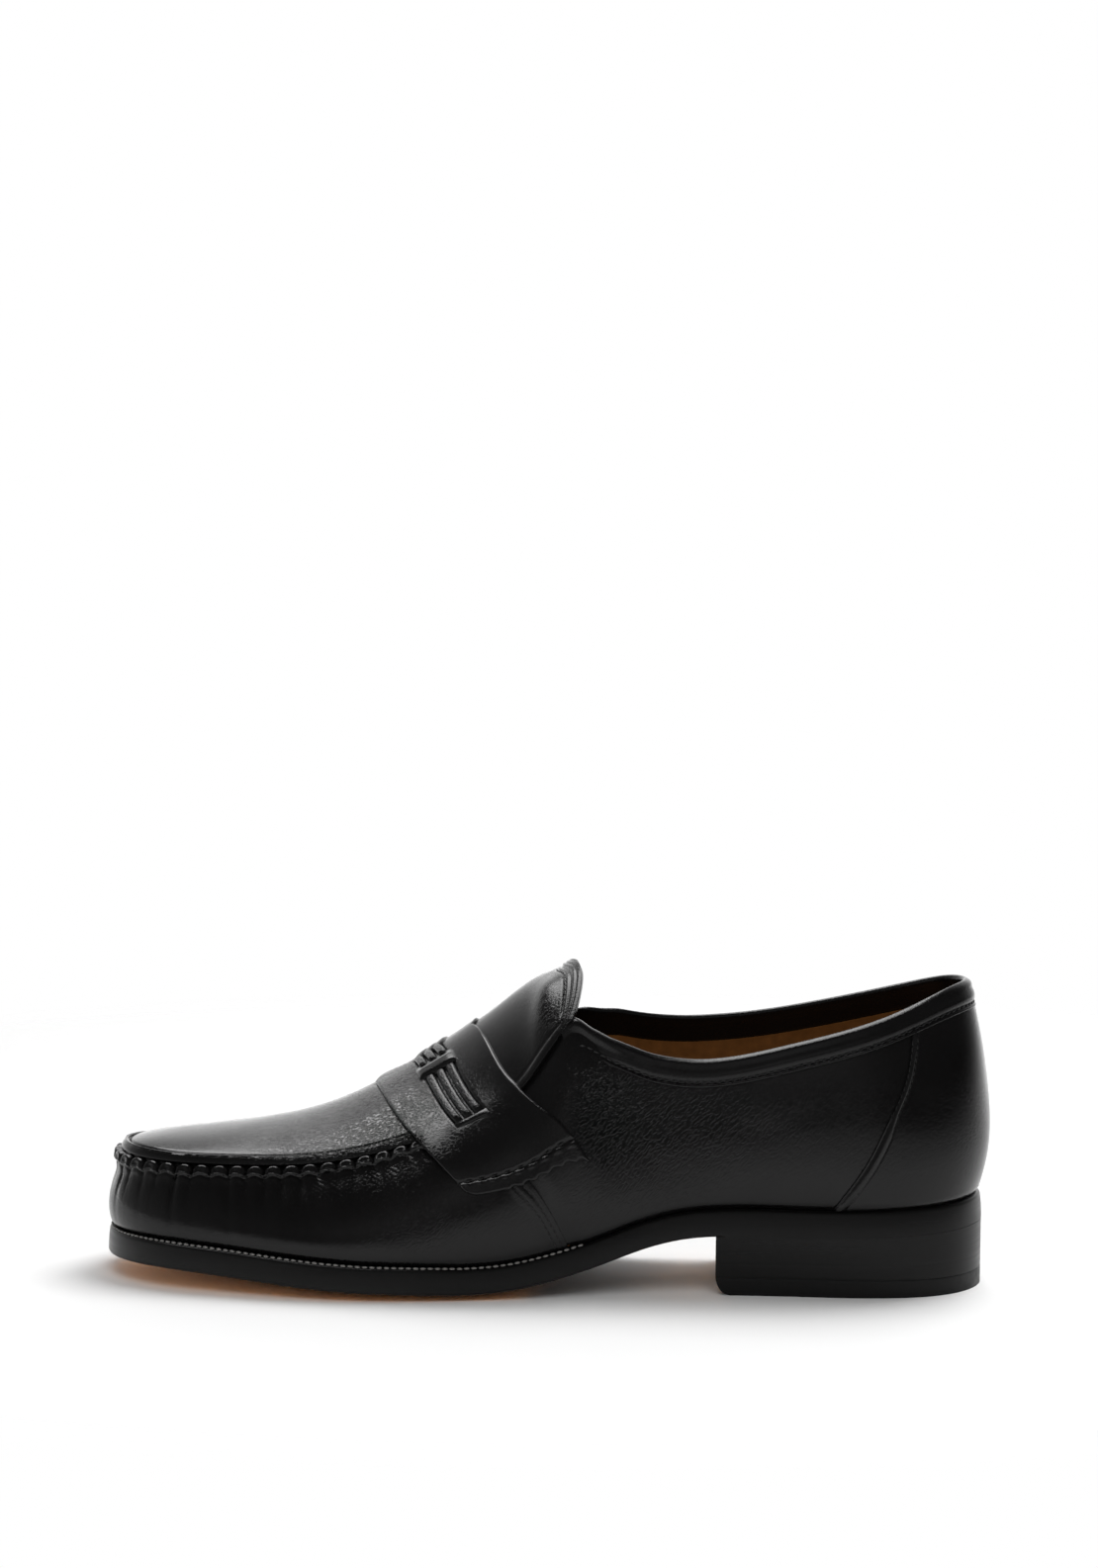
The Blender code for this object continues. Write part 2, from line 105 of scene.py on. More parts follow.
def spline(knots, rows, closed=False):
    """A cubic spline through rows of values, for whole arrays of places at once."""
    x = np.asarray(knots, float)
    y = np.asarray(rows, float)
    last = len(x) - 1
    h = np.diff(x)
    slope = np.diff(y, axis=0) / h[:, None]
    matrix = np.zeros((last + 1, last + 1))
    right = np.zeros_like(y)
    for i in range(1, last):
        matrix[i, i - 1 : i + 2] = h[i - 1], 2 * (h[i - 1] + h[i]), h[i]
        right[i] = 6 * (slope[i] - slope[i - 1])
    if closed:
        matrix[0, 0], matrix[0, last] = 1, -1
        matrix[last, 0], matrix[last, 1] = 2 * h[0], h[0]
        matrix[last, last - 1], matrix[last, last] = h[-1], 2 * h[-1]
        right[last] = 6 * (slope[0] - slope[-1])
    else:
        matrix[0, 0] = matrix[last, last] = 1
    bend = np.linalg.solve(matrix, right)

    def curve(t):
        t = np.asarray(t, float)
        if closed:
            t = x[0] + (t - x[0]) % (x[-1] - x[0])
        i = np.clip(np.searchsorted(x, t, side="right") - 1, 0, last - 1)
        step = h[i][..., None]
        d = (t - x[i])[..., None]
        start = slope[i] - step * (2 * bend[i] + bend[i + 1]) / 6
        return y[i] + d * (start + d * (bend[i] / 2 + d * (bend[i + 1] - bend[i]) / (6 * step)))

    return curve


def table_curve(table):
    """A spline through a table whose first column is the place."""
    table = np.array(table, float)
    return spline(table[:, 0], table[:, 1:])


def rail_rows():
    """The sections as one closed round: along the outer side to the heel, back along the inner side."""
    rows = []
    sections = [dict(zip(SECTION_COLUMNS, row)) for row in SECTIONS.values()]
    for side, order in (("lat", sections), ("med", sections[-2:0:-1])):
        for s in order:
            rows.append((
                s["foot_a"], s["foot_" + side], s["rim_a"], s["rim_" + side], s["rim_z_" + side],
                s["flare_" + side], s["lean_" + side], s["welt"],
            ))
    return np.array(rows + rows[:1])


RAILS = rail_rows()
ROUND = len(RAILS) - 1
HEEL_ROW = ROUND // 2
THROAT_ROW = list(SECTIONS).index("throat")
KNOTS = np.concatenate([[0.0], np.cumsum(np.hypot(*np.diff(RAILS[:, :2], axis=0).T))])
RAIL_CURVE = spline(KNOTS, RAILS, True)
RIDGE_CURVE = spline(KNOTS[: len(RIDGE)], list(RIDGE.values()))
SOLE_CURVE = table_curve(SOLE_LINE)
print("the foot line is", round(KNOTS[-1]), "mm round")

# %% The surface of the last
UP = np.array((0.0, 0.0, 1.0))
RIB_PULL = 0.36
FLAT_SHARE = 0.35
FOOT_RISE = 9.0
NORMAL_STEPS = (0.03, 0.02)
ROW_STEP = 0.05
ROW_LIMITS = (0.3, 10.0)


def unit(vectors):
    return vectors / np.linalg.norm(vectors, axis=-1, keepdims=True)


def together(row, place):
    """Two arrays or numbers as two arrays of one shape."""
    return np.broadcast_arrays(np.asarray(row, float), np.asarray(place, float))


def along(row):
    return np.interp(np.asarray(row, float) % ROUND, np.arange(ROUND + 1), KNOTS)


def rails(row):
    return np.moveaxis(RAIL_CURVE(along(row)), -1, 0)


def outward(row):
    """The level direction away from the shoe."""
    s = along(row)
    step = RAIL_CURVE(s + 0.5) - RAIL_CURVE(s - 0.5)
    return unit(np.stack((-step[..., 1], step[..., 0], np.zeros_like(s)), -1))


def sole_under(a, share):
    """Height of the sole's underside; share is 0 on its middle line and 1 at its edge."""
    z, edge = np.moveaxis(SOLE_CURVE(np.clip(a, 0.0, SOLE_LINE[-1][0])), -1, 0)
    bend = np.maximum(0.0, np.abs(share) - FLAT_SHARE) / (1 - FLAT_SHARE)
    return np.maximum(z, 0.0) + edge * bend**2


def bezier(p0, p1, p2, p3, t):
    return (1 - t) ** 3 * p0 + 3 * t * (1 - t) ** 2 * p1 + 3 * t * t * (1 - t) * p2 + t**3 * p3


def tilted(out, degrees):
    angle = np.radians(degrees)[..., None]
    return np.sin(angle) * out + np.cos(angle) * UP


def wall(row, rise):
    """The side of the upper, from the foot line (rise 0) to the rim (rise 1)."""
    row, rise = together(row, rise)
    foot_a, foot_y, rim_a, rim_y, rim_z, flare, lean, _ = rails(row)
    foot = np.stack((foot_a, foot_y, sole_under(foot_a, 1) + FOOT_RISE), -1)
    rim = np.stack((rim_a, rim_y, rim_z), -1)
    out = outward(row)
    pull = RIB_PULL * np.linalg.norm(rim - foot, axis=-1, keepdims=True)
    low = foot + pull * tilted(out, flare)
    high = rim - pull * tilted(-out, lean)
    return bezier(foot, low, high, rim, rise[..., None])


def hoop(row, across):
    """The arch between the rims, from the outer (across -1) to the inner side (across 1)."""
    row, across = together(row, across)
    lat = np.moveaxis(rails(row)[2:5], 0, -1)
    med = np.moveaxis(rails(-row)[2:5], 0, -1)
    a, y, z, fullness, tilt = np.moveaxis(RIDGE_CURVE(along(row)), -1, 0)
    lift = (np.stack((a, y, z), -1) - (lat + med) / 2) / 0.75
    spread = np.stack((np.zeros_like(a), fullness * (med - lat)[..., 1], -tilt * lift[..., 2]), -1)
    return bezier(lat, lat + lift + spread, med + lift - spread, med, (across[..., None] + 1) / 2)


def skin(row, across):
    """Wall, arch and wall as one face: across runs from -2 to 2, with the rims at -1 and 1."""
    row, across = together(row, across)
    outer = wall(row, np.minimum(2 + across, 1))
    inner = wall(-row, np.minimum(2 - across, 1))
    arch = hoop(row, np.clip(across, -1, 1))
    place = across[..., None]
    return np.where(place < -1, outer, np.where(place > 1, inner, arch))


def normal(face, u, v):
    du, dv = NORMAL_STEPS
    along_u = face(u + du, v) - face(u - du, v)
    along_v = face(u, v + dv) - face(u, v - dv)
    return unit(np.cross(along_v, along_u))


def raised(face, u, v, height):
    """Points above a face, along its outward normal."""
    return face(u, v) + normal(face, u, v) * np.asarray(height)[..., None]


def row_at(a, across):
    """The row at which the skin's line across reaches station a, by Newton's steps."""
    row = np.interp(-np.asarray(a, float), [-r[0] for r in RIDGE.values()], np.arange(len(RIDGE)))
    for _ in range(8):
        here = skin(row, across)[..., 0]
        slope = (skin(row + ROW_STEP, across)[..., 0] - here) / ROW_STEP
        row = np.clip(row + (a - here) / np.minimum(slope, -3.0), *ROW_LIMITS)
    return row


def rib_length(row):
    points = wall(np.asarray(row, float)[..., None], np.linspace(0, 1, 9))
    return np.linalg.norm(np.diff(points, axis=-2), axis=-1).sum(-1)


toe, instep = (round(float(hoop(row, 0.0)[2]), 1) for row in (2.0, 7.0))
print("toe cap height", toe, "mm, instep", instep, "mm")

# %% [markdown]
# ## Tools of the bench
# Nearly every piece is a sheet with a thickness. It starts as a flat grid, is extruded into layers, and is
# then laid on the last by a function that moves all its vertices at once. Modelling each sheet by hand
# would need the same grid. A bevel rounds the cut edges, which is what catches the light on real leather.
# Soft ramps and bell-shaped humps come first, since most of the shoe's relief is built from them.

# %% Ramps and humps


def smooth(low, high, x):
    """A soft ramp from 0 at low to 1 at high."""
    t = np.clip((x - low) / (high - low), 0.0, 1.0)
    return t * t * (3 - 2 * t)


def between(low, high, soft, x):
    """1 between two places and 0 outside them, with soft edges inside."""
    return smooth(low, low + soft, x) * (1 - smooth(high - soft, high, x))


def hump(distance, width):
    """A bell with the height 1 in its middle."""
    return np.exp(-((distance / width) ** 2))


def ridges(x, table):
    """A sum of humps; the table gives each one's height, place and width."""
    return sum(height * hump(x - place, width) for height, place, width in table)


def mix(first, last, share):
    return first + (last - first) * share


print("a ramp half way up is", smooth(0.0, 1.0, 0.5))

# %% Sheets
MIDDLE = (149.06, 1.04)
WELD = 0.00001
SHARP_FROM = np.radians(55)
BEVEL_FROM = np.radians(50)


def to_world(points):
    a, y, z = np.moveaxis(points, -1, 0)
    return np.stack((MIDDLE[0] - a, y - MIDDLE[1], z), -1) * MM


def piece_from(bm, name, material, nodes):
    """Turns a finished bmesh into a piece that rides on the shoe and stands for the given solids."""
    mesh = bpy.data.meshes.new(name)
    bm.to_mesh(mesh)
    bm.free()
    mesh.shade_smooth()
    mesh.set_sharp_from_angle(angle=SHARP_FROM)
    mesh.materials.append(material)
    piece = bpy.data.objects.new(name, mesh)
    scene.collection.objects.link(piece)
    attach(piece, "root")
    if nodes:
        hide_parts(*nodes)
    triangles = sum(len(face.vertices) - 2 for face in mesh.polygons)
    print(name, "has", triangles, "triangles")
    return piece


def sheet(name, columns, rows, place, material, nodes=(), layers=1, edge=0.0):
    """A grid extruded into layers; place takes u, v and layer from 0 to 1, and gives millimetres."""
    bm = bmesh.new()
    bmesh.ops.create_grid(bm, x_segments=columns, y_segments=rows, size=0.5)
    top = bm.faces[:]
    for _ in range(layers):
        top = bmesh.ops.extrude_face_region(bm, geom=top)["geom"]
        moved = [item for item in top if isinstance(item, bmesh.types.BMVert)]
        bmesh.ops.translate(bm, verts=moved, vec=(0, 0, 1 / layers))
    flat = np.array([vert.co for vert in bm.verts])
    points = to_world(place(flat[:, 0] + 0.5, flat[:, 1] + 0.5, flat[:, 2]))
    for vert, point in zip(bm.verts, points):
        vert.co = point
    bmesh.ops.remove_doubles(bm, verts=bm.verts, dist=WELD)
    bmesh.ops.recalc_face_normals(bm, faces=bm.faces)
    if edge:
        rims = [e for e in bm.edges if e.is_manifold and e.calc_face_angle() > BEVEL_FROM]
        bmesh.ops.bevel(
            bm, geom=rims, offset=edge * MM, offset_type="OFFSET", segments=3, profile=0.5, affect="EDGES",
            material=-1, clamp_overlap=True,
        )
    return piece_from(bm, name, material, nodes)


print("bench ready")

# %% [markdown]
# ## Finishes
# Polished calf is black, smooth and a little greasy. Its grain is a net of fine creases, deeper where the
# foot bends the shoe. A picture of leather would be quick, but it would stretch over the last, so the grain
# is built from noise on Object coordinates. A crease attribute on the mesh says where it is deep.

# %% Node helpers


def add_node(tree, kind, inputs, **settings):
    """A shader node with its settings, and inputs that are numbers or other nodes' sockets."""
    made = tree.nodes.new("ShaderNode" + kind)
    for key, value in settings.items():
        setattr(made, key, value)
    for socket, value in inputs.items():
        if isinstance(value, bpy.types.NodeSocket):
            tree.links.new(value, made.inputs[socket])
        else:
            made.inputs[socket].default_value = value
    return made


def maths(tree, operation, first, second):
    return add_node(tree, "Math", {0: first, 1: second}, operation=operation).outputs[0]


def new_material(name, **sockets):
    """A Principled material with constant sockets set, its tree, its shader and its Object coordinates."""
    made = bpy.data.materials.new(name)
    made.use_nodes = True
    tree = made.node_tree
    shader = tree.nodes["Principled BSDF"]
    for socket, value in sockets.items():
        shader.inputs[socket.replace("_", " ")].default_value = value
    place = add_node(tree, "TexCoord", {}).outputs["Object"]
    return made, tree, shader, place


def noise(tree, place, scale, detail=2.0, distortion=0.0):
    inputs = {"Vector": place, "Scale": scale, "Detail": detail, "Distortion": distortion}
    return add_node(tree, "TexNoise", inputs).outputs[0]


def remap(tree, value, from_low, from_high, low, high, **settings):
    inputs = {"Value": value, 1: from_low, 2: from_high, 3: low, 4: high}
    return add_node(tree, "MapRange", inputs, **settings).outputs[0]


def blend_range(tree, value, low, high):
    """Stretches a noise, which stays near the middle, over a chosen range."""
    return remap(tree, value, 0.3, 0.7, low, high)


def paint(tree, shader, tone, tint, gloss):
    """Links a tone times a tint to the shader's colour, and gloss to its roughness."""
    inputs = {0: 1.0, 6: tone, 7: tint}
    colour = add_node(tree, "Mix", inputs, data_type="RGBA", blend_type="MULTIPLY")
    tree.links.new(colour.outputs[2], shader.inputs["Base Color"])
    tree.links.new(gloss, shader.inputs["Roughness"])


def bump(tree, shader, height, distance):
    made = add_node(tree, "Bump", {"Height": height, "Distance": distance, "Strength": 1.0})
    tree.links.new(made.outputs[0], shader.inputs["Normal"])


print("helpers ready")

# %% Calf leather
CALF_BLACK = (0.0036, 0.0034, 0.0035, 1)
GRAIN_SIZE = 0.0010
GRAIN_TURN = (0.0, np.radians(35.0), 0.0)
GRAIN_STRETCH = (1.0, 1.0, 2.6)
GRAIN_DEPTH = 0.00012
GRAIN_WAVES = 0.3
VALLEY_WIDTH = 0.12
PATCH_SIZE = 0.03
TINT_SCALE = 45.0
GLOSS_SCALE = 70.0


def calf(name, roughness, grain):
    """Black calf with a net of fine valleys; grain is their depth, and the crease attribute adds to it."""
    made, tree, shader, place = new_material(name, Specular_IOR_Level=0.27)
    creased = add_node(tree, "Attribute", {}, attribute_name="crease").outputs["Fac"]
    turned = {"Vector": place, "Rotation": GRAIN_TURN, "Scale": GRAIN_STRETCH}
    lengthwise = add_node(tree, "Mapping", turned, vector_type="TEXTURE").outputs[0]
    wavy = maths(tree, "SUBTRACT", noise(tree, lengthwise, 1 / GRAIN_SIZE, 2.0, GRAIN_WAVES), 0.5)
    valley = maths(tree, "ABSOLUTE", wavy, 0.0)
    net = remap(tree, valley, 0.0, VALLEY_WIDTH, 0.0, 1.0, interpolation_type="SMOOTHSTEP")
    patch = blend_range(tree, noise(tree, place, 1 / PATCH_SIZE), 0.3 * grain, grain)
    depth = maths(tree, "ADD", patch, creased)
    bump(tree, shader, maths(tree, "MULTIPLY", net, depth), GRAIN_DEPTH)
    tint = blend_range(tree, noise(tree, place, TINT_SCALE), 0.75, 1.3)
    uneven = blend_range(tree, noise(tree, place, GLOSS_SCALE, 4.0), -0.04, 0.05)
    paint(tree, shader, CALF_BLACK, tint, maths(tree, "ADD", uneven, roughness))
    return made


black_calf = calf("black_calf", 0.18, 0.22)
strip_calf = calf("strip_calf", 0.20, 0.80)
print("calf finishes ready")

# %% Lining, sole, wax, rubber and thread


def fibrous(name, tone, roughness, scale, stretch, depth):
    """A plain finish with streaks: lining and sole leather, waxed edges and rubber."""
    made, tree, shader, place = new_material(name, Specular_IOR_Level=0.20)
    streaks = add_node(tree, "Mapping", {"Vector": place, "Scale": stretch}).outputs[0]
    fibre = noise(tree, streaks, scale, 5.0)
    tint = blend_range(tree, fibre, 0.8, 1.15)
    gloss = maths(tree, "ADD", blend_range(tree, fibre, -0.06, 0.08), roughness)
    paint(tree, shader, (*tone, 1), tint, gloss)
    bump(tree, shader, fibre, depth)
    return made


tan_lining = fibrous("tan_lining", (0.19, 0.080, 0.022), 0.55, 260.0, (1, 1, 1), 0.00008)
tan_sole = fibrous("tan_sole", (0.85, 0.42, 0.14), 0.45, 220.0, (0.35, 1, 1), 0.00006)
edge_wax = fibrous("edge_wax", (0.0036, 0.0035, 0.0035), 0.32, 160.0, (0.12, 0.12, 3.0), 0.00003)
heel_rubber = fibrous("heel_rubber", (0.0045, 0.0045, 0.0047), 0.42, 500.0, (1, 1, 1), 0.00003)
black_thread = fibrous("black_thread", (0.018, 0.018, 0.018), 0.42, 2200.0, (1, 1, 1), 0.00005)
waxed_thread = fibrous("waxed_thread", (0.20, 0.195, 0.185), 0.42, 2200.0, (1, 1, 1), 0.00005)
print("materials", [material.name for material in bpy.data.materials])

# %% [markdown]
# ## The vamp and its gathers
# The vamp is the wall round the toes. It is longer than the apron that it is sewn to, so the thread draws
# it into small lobes under the apron's lip, and soft pleats run down from them. Cloth simulation could
# gather it, but a seam with an even pitch is easier to steer as a relief: each lobe is a small arch that
# stands in a channel, and each pleat is a trough that fades downwards.

# %% Relief of the gathered seam
GATHER_PITCH = 6.1
GATHER_ENDS = (4.9, 5.4)
LOBE = 2.6
LOBE_MIDDLE = 3.3
LOBE_REACH = 2.5
LOBE_POWER = 2.2
LOBE_DIMPLE = (0.25, 0.2)
LOBE_STITCH = 4.0
CHANNEL = 0.8
LEDGE = 4.7
LEDGE_WAVE = 0.35
LEDGE_CHANCE = 0.5
PLEAT = 0.9
PLEAT_WIDTH = 0.20
PLEAT_SLANT = 0.02
PLEAT_LENGTHS = (3.0, 9.0)
PUFF = 0.45
PUFF_BELOW = 0.9
PUFF_WIDTH = 1.6
TOE_FULL = 1.5
TOE_FULL_ROWS = 1.3
UNDER_LIP = 2.6
TOE_ROWS = np.linspace(-9, 9, 1801)
RIM_STEPS = np.linalg.norm(np.diff(wall(TOE_ROWS, 1.0), axis=0), axis=-1)
RIM_LENGTHS = np.concatenate([[0.0], np.cumsum(RIM_STEPS)])
PLEAT_CHANCE = np.random.default_rng(7).uniform(size=240)


def along_rim(row):
    return np.interp(row, TOE_ROWS, RIM_LENGTHS)


def gathers(row, fall):
    """Height of the seam's relief; fall is the distance below the rim."""
    turn = along_rim(row) / GATHER_PITCH
    number = np.floor(turn)
    share = turn - number
    chance = PLEAT_CHANCE[number.astype(int) % len(PLEAT_CHANCE)]
    ledge = LEDGE + LEDGE_WAVE * np.cos(2 * np.pi * share) + LEDGE_CHANCE * (chance - 0.5)
    channel = -CHANNEL * (1 - smooth(ledge - 0.5, ledge + 0.5, fall))
    beside = np.abs(2 * share - 1)
    above = np.maximum(LOBE_MIDDLE - fall, 0.0) / LOBE_REACH
    arch = beside**LOBE_POWER + above**LOBE_POWER
    dimple = 1 - LOBE_DIMPLE[0] * np.exp(-arch / LOBE_DIMPLE[1])
    lobe = LOBE * np.sqrt(np.clip(1 - arch**2, 0, 1)) * dimple
    below = np.maximum(fall - ledge, 0.0)
    fold = np.abs((share - PLEAT_SLANT * below + 0.5) % 1 - 0.5)
    shallower = np.exp(-below / mix(*PLEAT_LENGTHS, chance))
    pleat = -PLEAT * (0.3 + chance) * hump(fold, PLEAT_WIDTH) * shallower
    puff = PUFF * hump(fall - ledge - PUFF_BELOW, PUFF_WIDTH)
    below_ledge = smooth(ledge - 0.4, ledge + 0.4, fall)
    fade = 1 - smooth(*GATHER_ENDS, np.abs(row))
    toe = TOE_FULL * hump(row, TOE_FULL_ROWS) * (1 - smooth(1.0, 9.0, fall))
    return toe + fade * (channel + lobe * (1 - below_ledge) + (pleat + puff) * below_ledge)


seam_length = along_rim(GATHER_ENDS[0]) - along_rim(-GATHER_ENDS[0])
print("lobes round the toe", int(seam_length / GATHER_PITCH))

# %% [markdown]
# Worn or new, an upper has soft hollows where it bends. They are listed one by one, each with its
# station, height, direction and size, and the same table puts the deep grain round them.

# %% Creases of the upper
CREASE_COLUMNS = ("a", "z", "angle", "length", "width", "depth")
CREASES = (
    (116, 70, -14, 20, 3.6, 0.30),
    (121, 63, 24, 13, 3.0, 0.28),
    (98, 66, 4, 18, 4.0, 0.25),
    (84, 58, 14, 17, 5.0, 0.25),
    (128, 52, 62, 15, 4.5, 0.30),
    (112, 46, 40, 16, 6.0, 0.22),
    (62, 62, -20, 16, 5.0, 0.20),
    (186, 33, 74, 12, 3.5, 0.25),
    (197, 30, 66, 12, 4.0, 0.25),
)


def crease_field(points, spread):
    """How deep the listed creases are at points, each spread times its own width."""
    total = np.zeros(points.shape[:-1])
    for values in CREASES:
        c = dict(zip(CREASE_COLUMNS, values))
        turn = np.radians(c["angle"])
        da, dz = points[..., 0] - c["a"], points[..., 2] - c["z"]
        along_it = (da * np.cos(turn) + dz * np.sin(turn)) / (c["length"] * spread**0.5)
        across_it = (dz * np.cos(turn) - da * np.sin(turn)) / (c["width"] * spread)
        total += c["depth"] * hump(along_it, 1.0) * hump(across_it, 1.0)
    return total


# Patches of deep grain: a, z, their reach along and upwards, and their strength
INSTEP_GRAIN = (
    (208, 53, 16, 8, 1.2), (230, 47, 14, 4, 0.8), (194, 63, 12, 12, 1.2), (146, 92, 6, 6, 0.4),
)
QUARTER_GRAIN = ((127, 71, 11, 8, 0.8), (104, 58, 26, 18, 0.55))
CREASE_GRAIN = 0.5
CREASE_SPREAD = 2.2
DEEPEST_GRAIN = 1.5


def mark_creases(piece, patches=()):
    """Writes the crease attribute that the calf finish reads, round the creases and in the patches."""
    places = np.array([vert.co for vert in piece.data.vertices]) / MM
    points = np.stack((MIDDLE[0] - places[:, 0], places[:, 1] + MIDDLE[1], places[:, 2]), -1)
    values = CREASE_GRAIN * crease_field(points, CREASE_SPREAD)
    for a, z, reach_a, reach_z, strength in patches:
        values += strength * hump(points[:, 0] - a, reach_a) * hump(points[:, 2] - z, reach_z)
    attribute = piece.data.attributes.new("crease", "FLOAT", "POINT")
    attribute.data.foreach_set("value", np.clip(values, 0, DEEPEST_GRAIN).astype(np.float32))


print("creases", len(CREASES), "on each side")

# %% The vamp
CALF = 1.0
SEAM_ROWS = (7.88, 5.46)
SEAM_ROW_LENGTH = 15.5
SEAM_STITCHES = (2.0, 4.2)
SEAM_LAP = 0.3
SEAM_GROOVES = [(-0.12, place, 0.4) for place in SEAM_STITCHES]
TUCK = 1.0
VAMP_STEPS = (0.0, 0.08, 0.55, 1.0)
LOBES_END = 6.5


def seam_row(rise):
    """The row of the vamp's rear edge, which slants forward as it rises."""
    return mix(*SEAM_ROWS, rise)


def seam_relief(behind):
    """The lapped edge of the vamp: a little proud, with a groove along each of its two rows of stitches."""
    return SEAM_LAP * (1 - smooth(3.0, 7.0, behind)) + ridges(behind, SEAM_GROOVES)


def foot_tuck(fall, length):
    """The leather turns in under itself where it meets the welt."""
    return -TUCK * smooth(length - 2.2, length + 0.4, fall)


def vamp_place(u, v, layer):
    side = 2 * u - 1
    guess = side * seam_row(v)
    length = rib_length(guess)
    past_lobes = np.interp(1 - v, VAMP_STEPS[2:], (0.0, 1.0)) * (length + 0.3 - LOBES_END)
    fall = np.interp(1 - v, VAMP_STEPS[:3], (-UNDER_LIP, 0.0, LOBES_END)) + past_lobes
    rise = 1 - fall / length
    row = side * seam_row(rise)
    seam = seam_relief((seam_row(rise) - np.abs(row)) * SEAM_ROW_LENGTH)
    relief = gathers(row, fall) + foot_tuck(fall, length) + seam - crease_field(wall(row, rise), 1.0)
    return raised(wall, row, rise, relief - CALF * (1 - layer))


vamp = sheet("vamp", 600, 48, vamp_place, black_calf, ["upper"], edge=0.25)
mark_creases(vamp)

# %% [markdown]
# ## The quarters
# Behind the seam one long sheet goes round the heel to the other side. Its front edges lie under the vamp.
# The arch under apron, strap and tongue closes the top, so that no light shows through their gaps.

# %% Quarters and arch
ARCH_SINK = 0.5
ARCH_ROWS = (0.35, 7.85)
RIM_FROM = 7.6
OUTER_SHIFT = (
    (7.6, 0.4), (8.07, 0.4), (8.22, -0.8), (8.4, -1.9), (8.6, -1.6), (8.82, -0.8), (9.15, 0.8), (9.41, 0.9),
    (9.66, 0.8), (10.0, 0.4), (10.6, 0.1), (11.65, 0.0), (12.6, 0.4), (14.0, 0.6),
)
INNER_SHIFT = (
    (7.6, 1.4), (7.9, 1.4), (8.4, 0.3), (8.83, 1.5), (9.16, 1.7), (9.43, 1.4), (9.82, 0.8), (10.3, 0.5),
    (11.1, 0.9), (12.0, 0.6), (14.0, 0.6),
)
RIM_OUTER = table_curve(OUTER_SHIFT)
RIM_INNER = table_curve(INNER_SHIFT)


def rim_shift(row):
    """How far the collar's rim lies above the last's own rim, on the outer and on the inner side."""
    place = np.asarray(row, float) % ROUND
    beside = np.clip(np.minimum(place, ROUND - place), RIM_FROM, None)
    return np.where(place <= HEEL_ROW, RIM_OUTER(beside)[..., 0], RIM_INNER(beside)[..., 0])


def quarter_place(u, v, layer):
    first = seam_row(v) - 0.3
    row = mix(first, ROUND - first, u)
    length = rib_length(row)
    top = rim_shift(row) - 0.4
    fall = (length + 0.3 + top) * (1 - v) - top
    rise = 1 - fall / length
    behind_seam = np.minimum(row, ROUND - row) - seam_row(rise)
    under_vamp = (CALF - SEAM_LAP) * (1 - smooth(0.0, 0.4, behind_seam))
    relief = foot_tuck(fall, length) - crease_field(wall(row, rise), 1.0) - under_vamp
    return raised(wall, row, rise, relief - CALF * (1 - layer))


def arch_share(row):
    """How far the arch reaches towards the rims: short of the gathers, and full behind them."""
    return mix(0.90, 1.0, smooth(5.2, 6.0, row))


def arch_place(u, v, layer):
    row = mix(*ARCH_ROWS, u)
    return raised(hoop, row, (2 * v - 1) * arch_share(row), layer * CALF - CALF - ARCH_SINK)


quarters = sheet("quarters", 420, 64, quarter_place, black_calf)
mark_creases(quarters, QUARTER_GRAIN)
sheet("upper_arch", 70, 40, arch_place, black_calf)

# %% [markdown]
# ## Lining and sock
# Inside, soft tan leather covers the walls, and a sock of the same leather lies on the insole. A lining
# could be a copy of the upper turned inward. It is made again from the last, a little smaller, because it
# needs far fewer vertices.

# %% Lining and sock
LINING = 0.8
LINING_DEPTH = (3.2, 1.2)
LINING_TOP = 7.7
SOCK = 2.5
SOCK_INSET = 2.3


def lining_place(u, v, layer):
    row = mix(0.01, ROUND - 0.01, u)
    behind_gathers = smooth(5.2, 6.2, np.minimum(row, ROUND - row))
    top = 1 - mix(1.0, LINING_TOP - rim_shift(row), behind_gathers) / rib_length(row)
    depth = mix(*LINING_DEPTH, behind_gathers)
    return raised(wall, row, mix(0.01, top, v), -depth - LINING * (1 - layer))


def lining_arch_place(u, v, layer):
    row = mix(ARCH_ROWS[0], ARCH_ROWS[1] - 0.2, u)
    height = -CALF - ARCH_SINK - 0.1 - LINING * (1 - layer)
    return raised(hoop, row, (2 * v - 1) * (arch_share(row) - 0.04), height)


def across_sole(row, share, outset):
    """Points of a sole-shaped outline filled from side to side."""
    lat = np.moveaxis(rails(row)[:2], 0, -1) + (outset * outward(row).T).T[..., :2]
    med = np.moveaxis(rails(-row)[:2], 0, -1) + (outset * outward(-row).T).T[..., :2]
    return np.moveaxis(mix(lat, med, (share[..., None] + 1) / 2), -1, 0)


def sole_share(row, share):
    return np.maximum(np.abs(share), 1 - row / 1.5)


def sock_place(u, v, layer):
    row, share = u * HEEL_ROW, 2 * v - 1
    a, y = across_sole(row, share, np.full_like(row, -SOCK_INSET))
    cup = 1.2 * np.abs(share) ** 6
    return np.stack((a, y, sole_under(a, sole_share(row, share)) + FOOT_RISE + layer * (SOCK + cup)), -1)


sheet("lining", 220, 26, lining_place, tan_lining)
sheet("lining_arch", 60, 30, lining_arch_place, tan_lining)
sheet("sock", 120, 24, sock_place, tan_lining, ["insole"])

# %% [markdown]
# ## The apron
# The apron covers the toes, and its edge curls up into a lip over the gathers. Rows of the grid crowd
# towards the edge, because the lip is only a few millimetres wide. The rear edge dips under the strap.

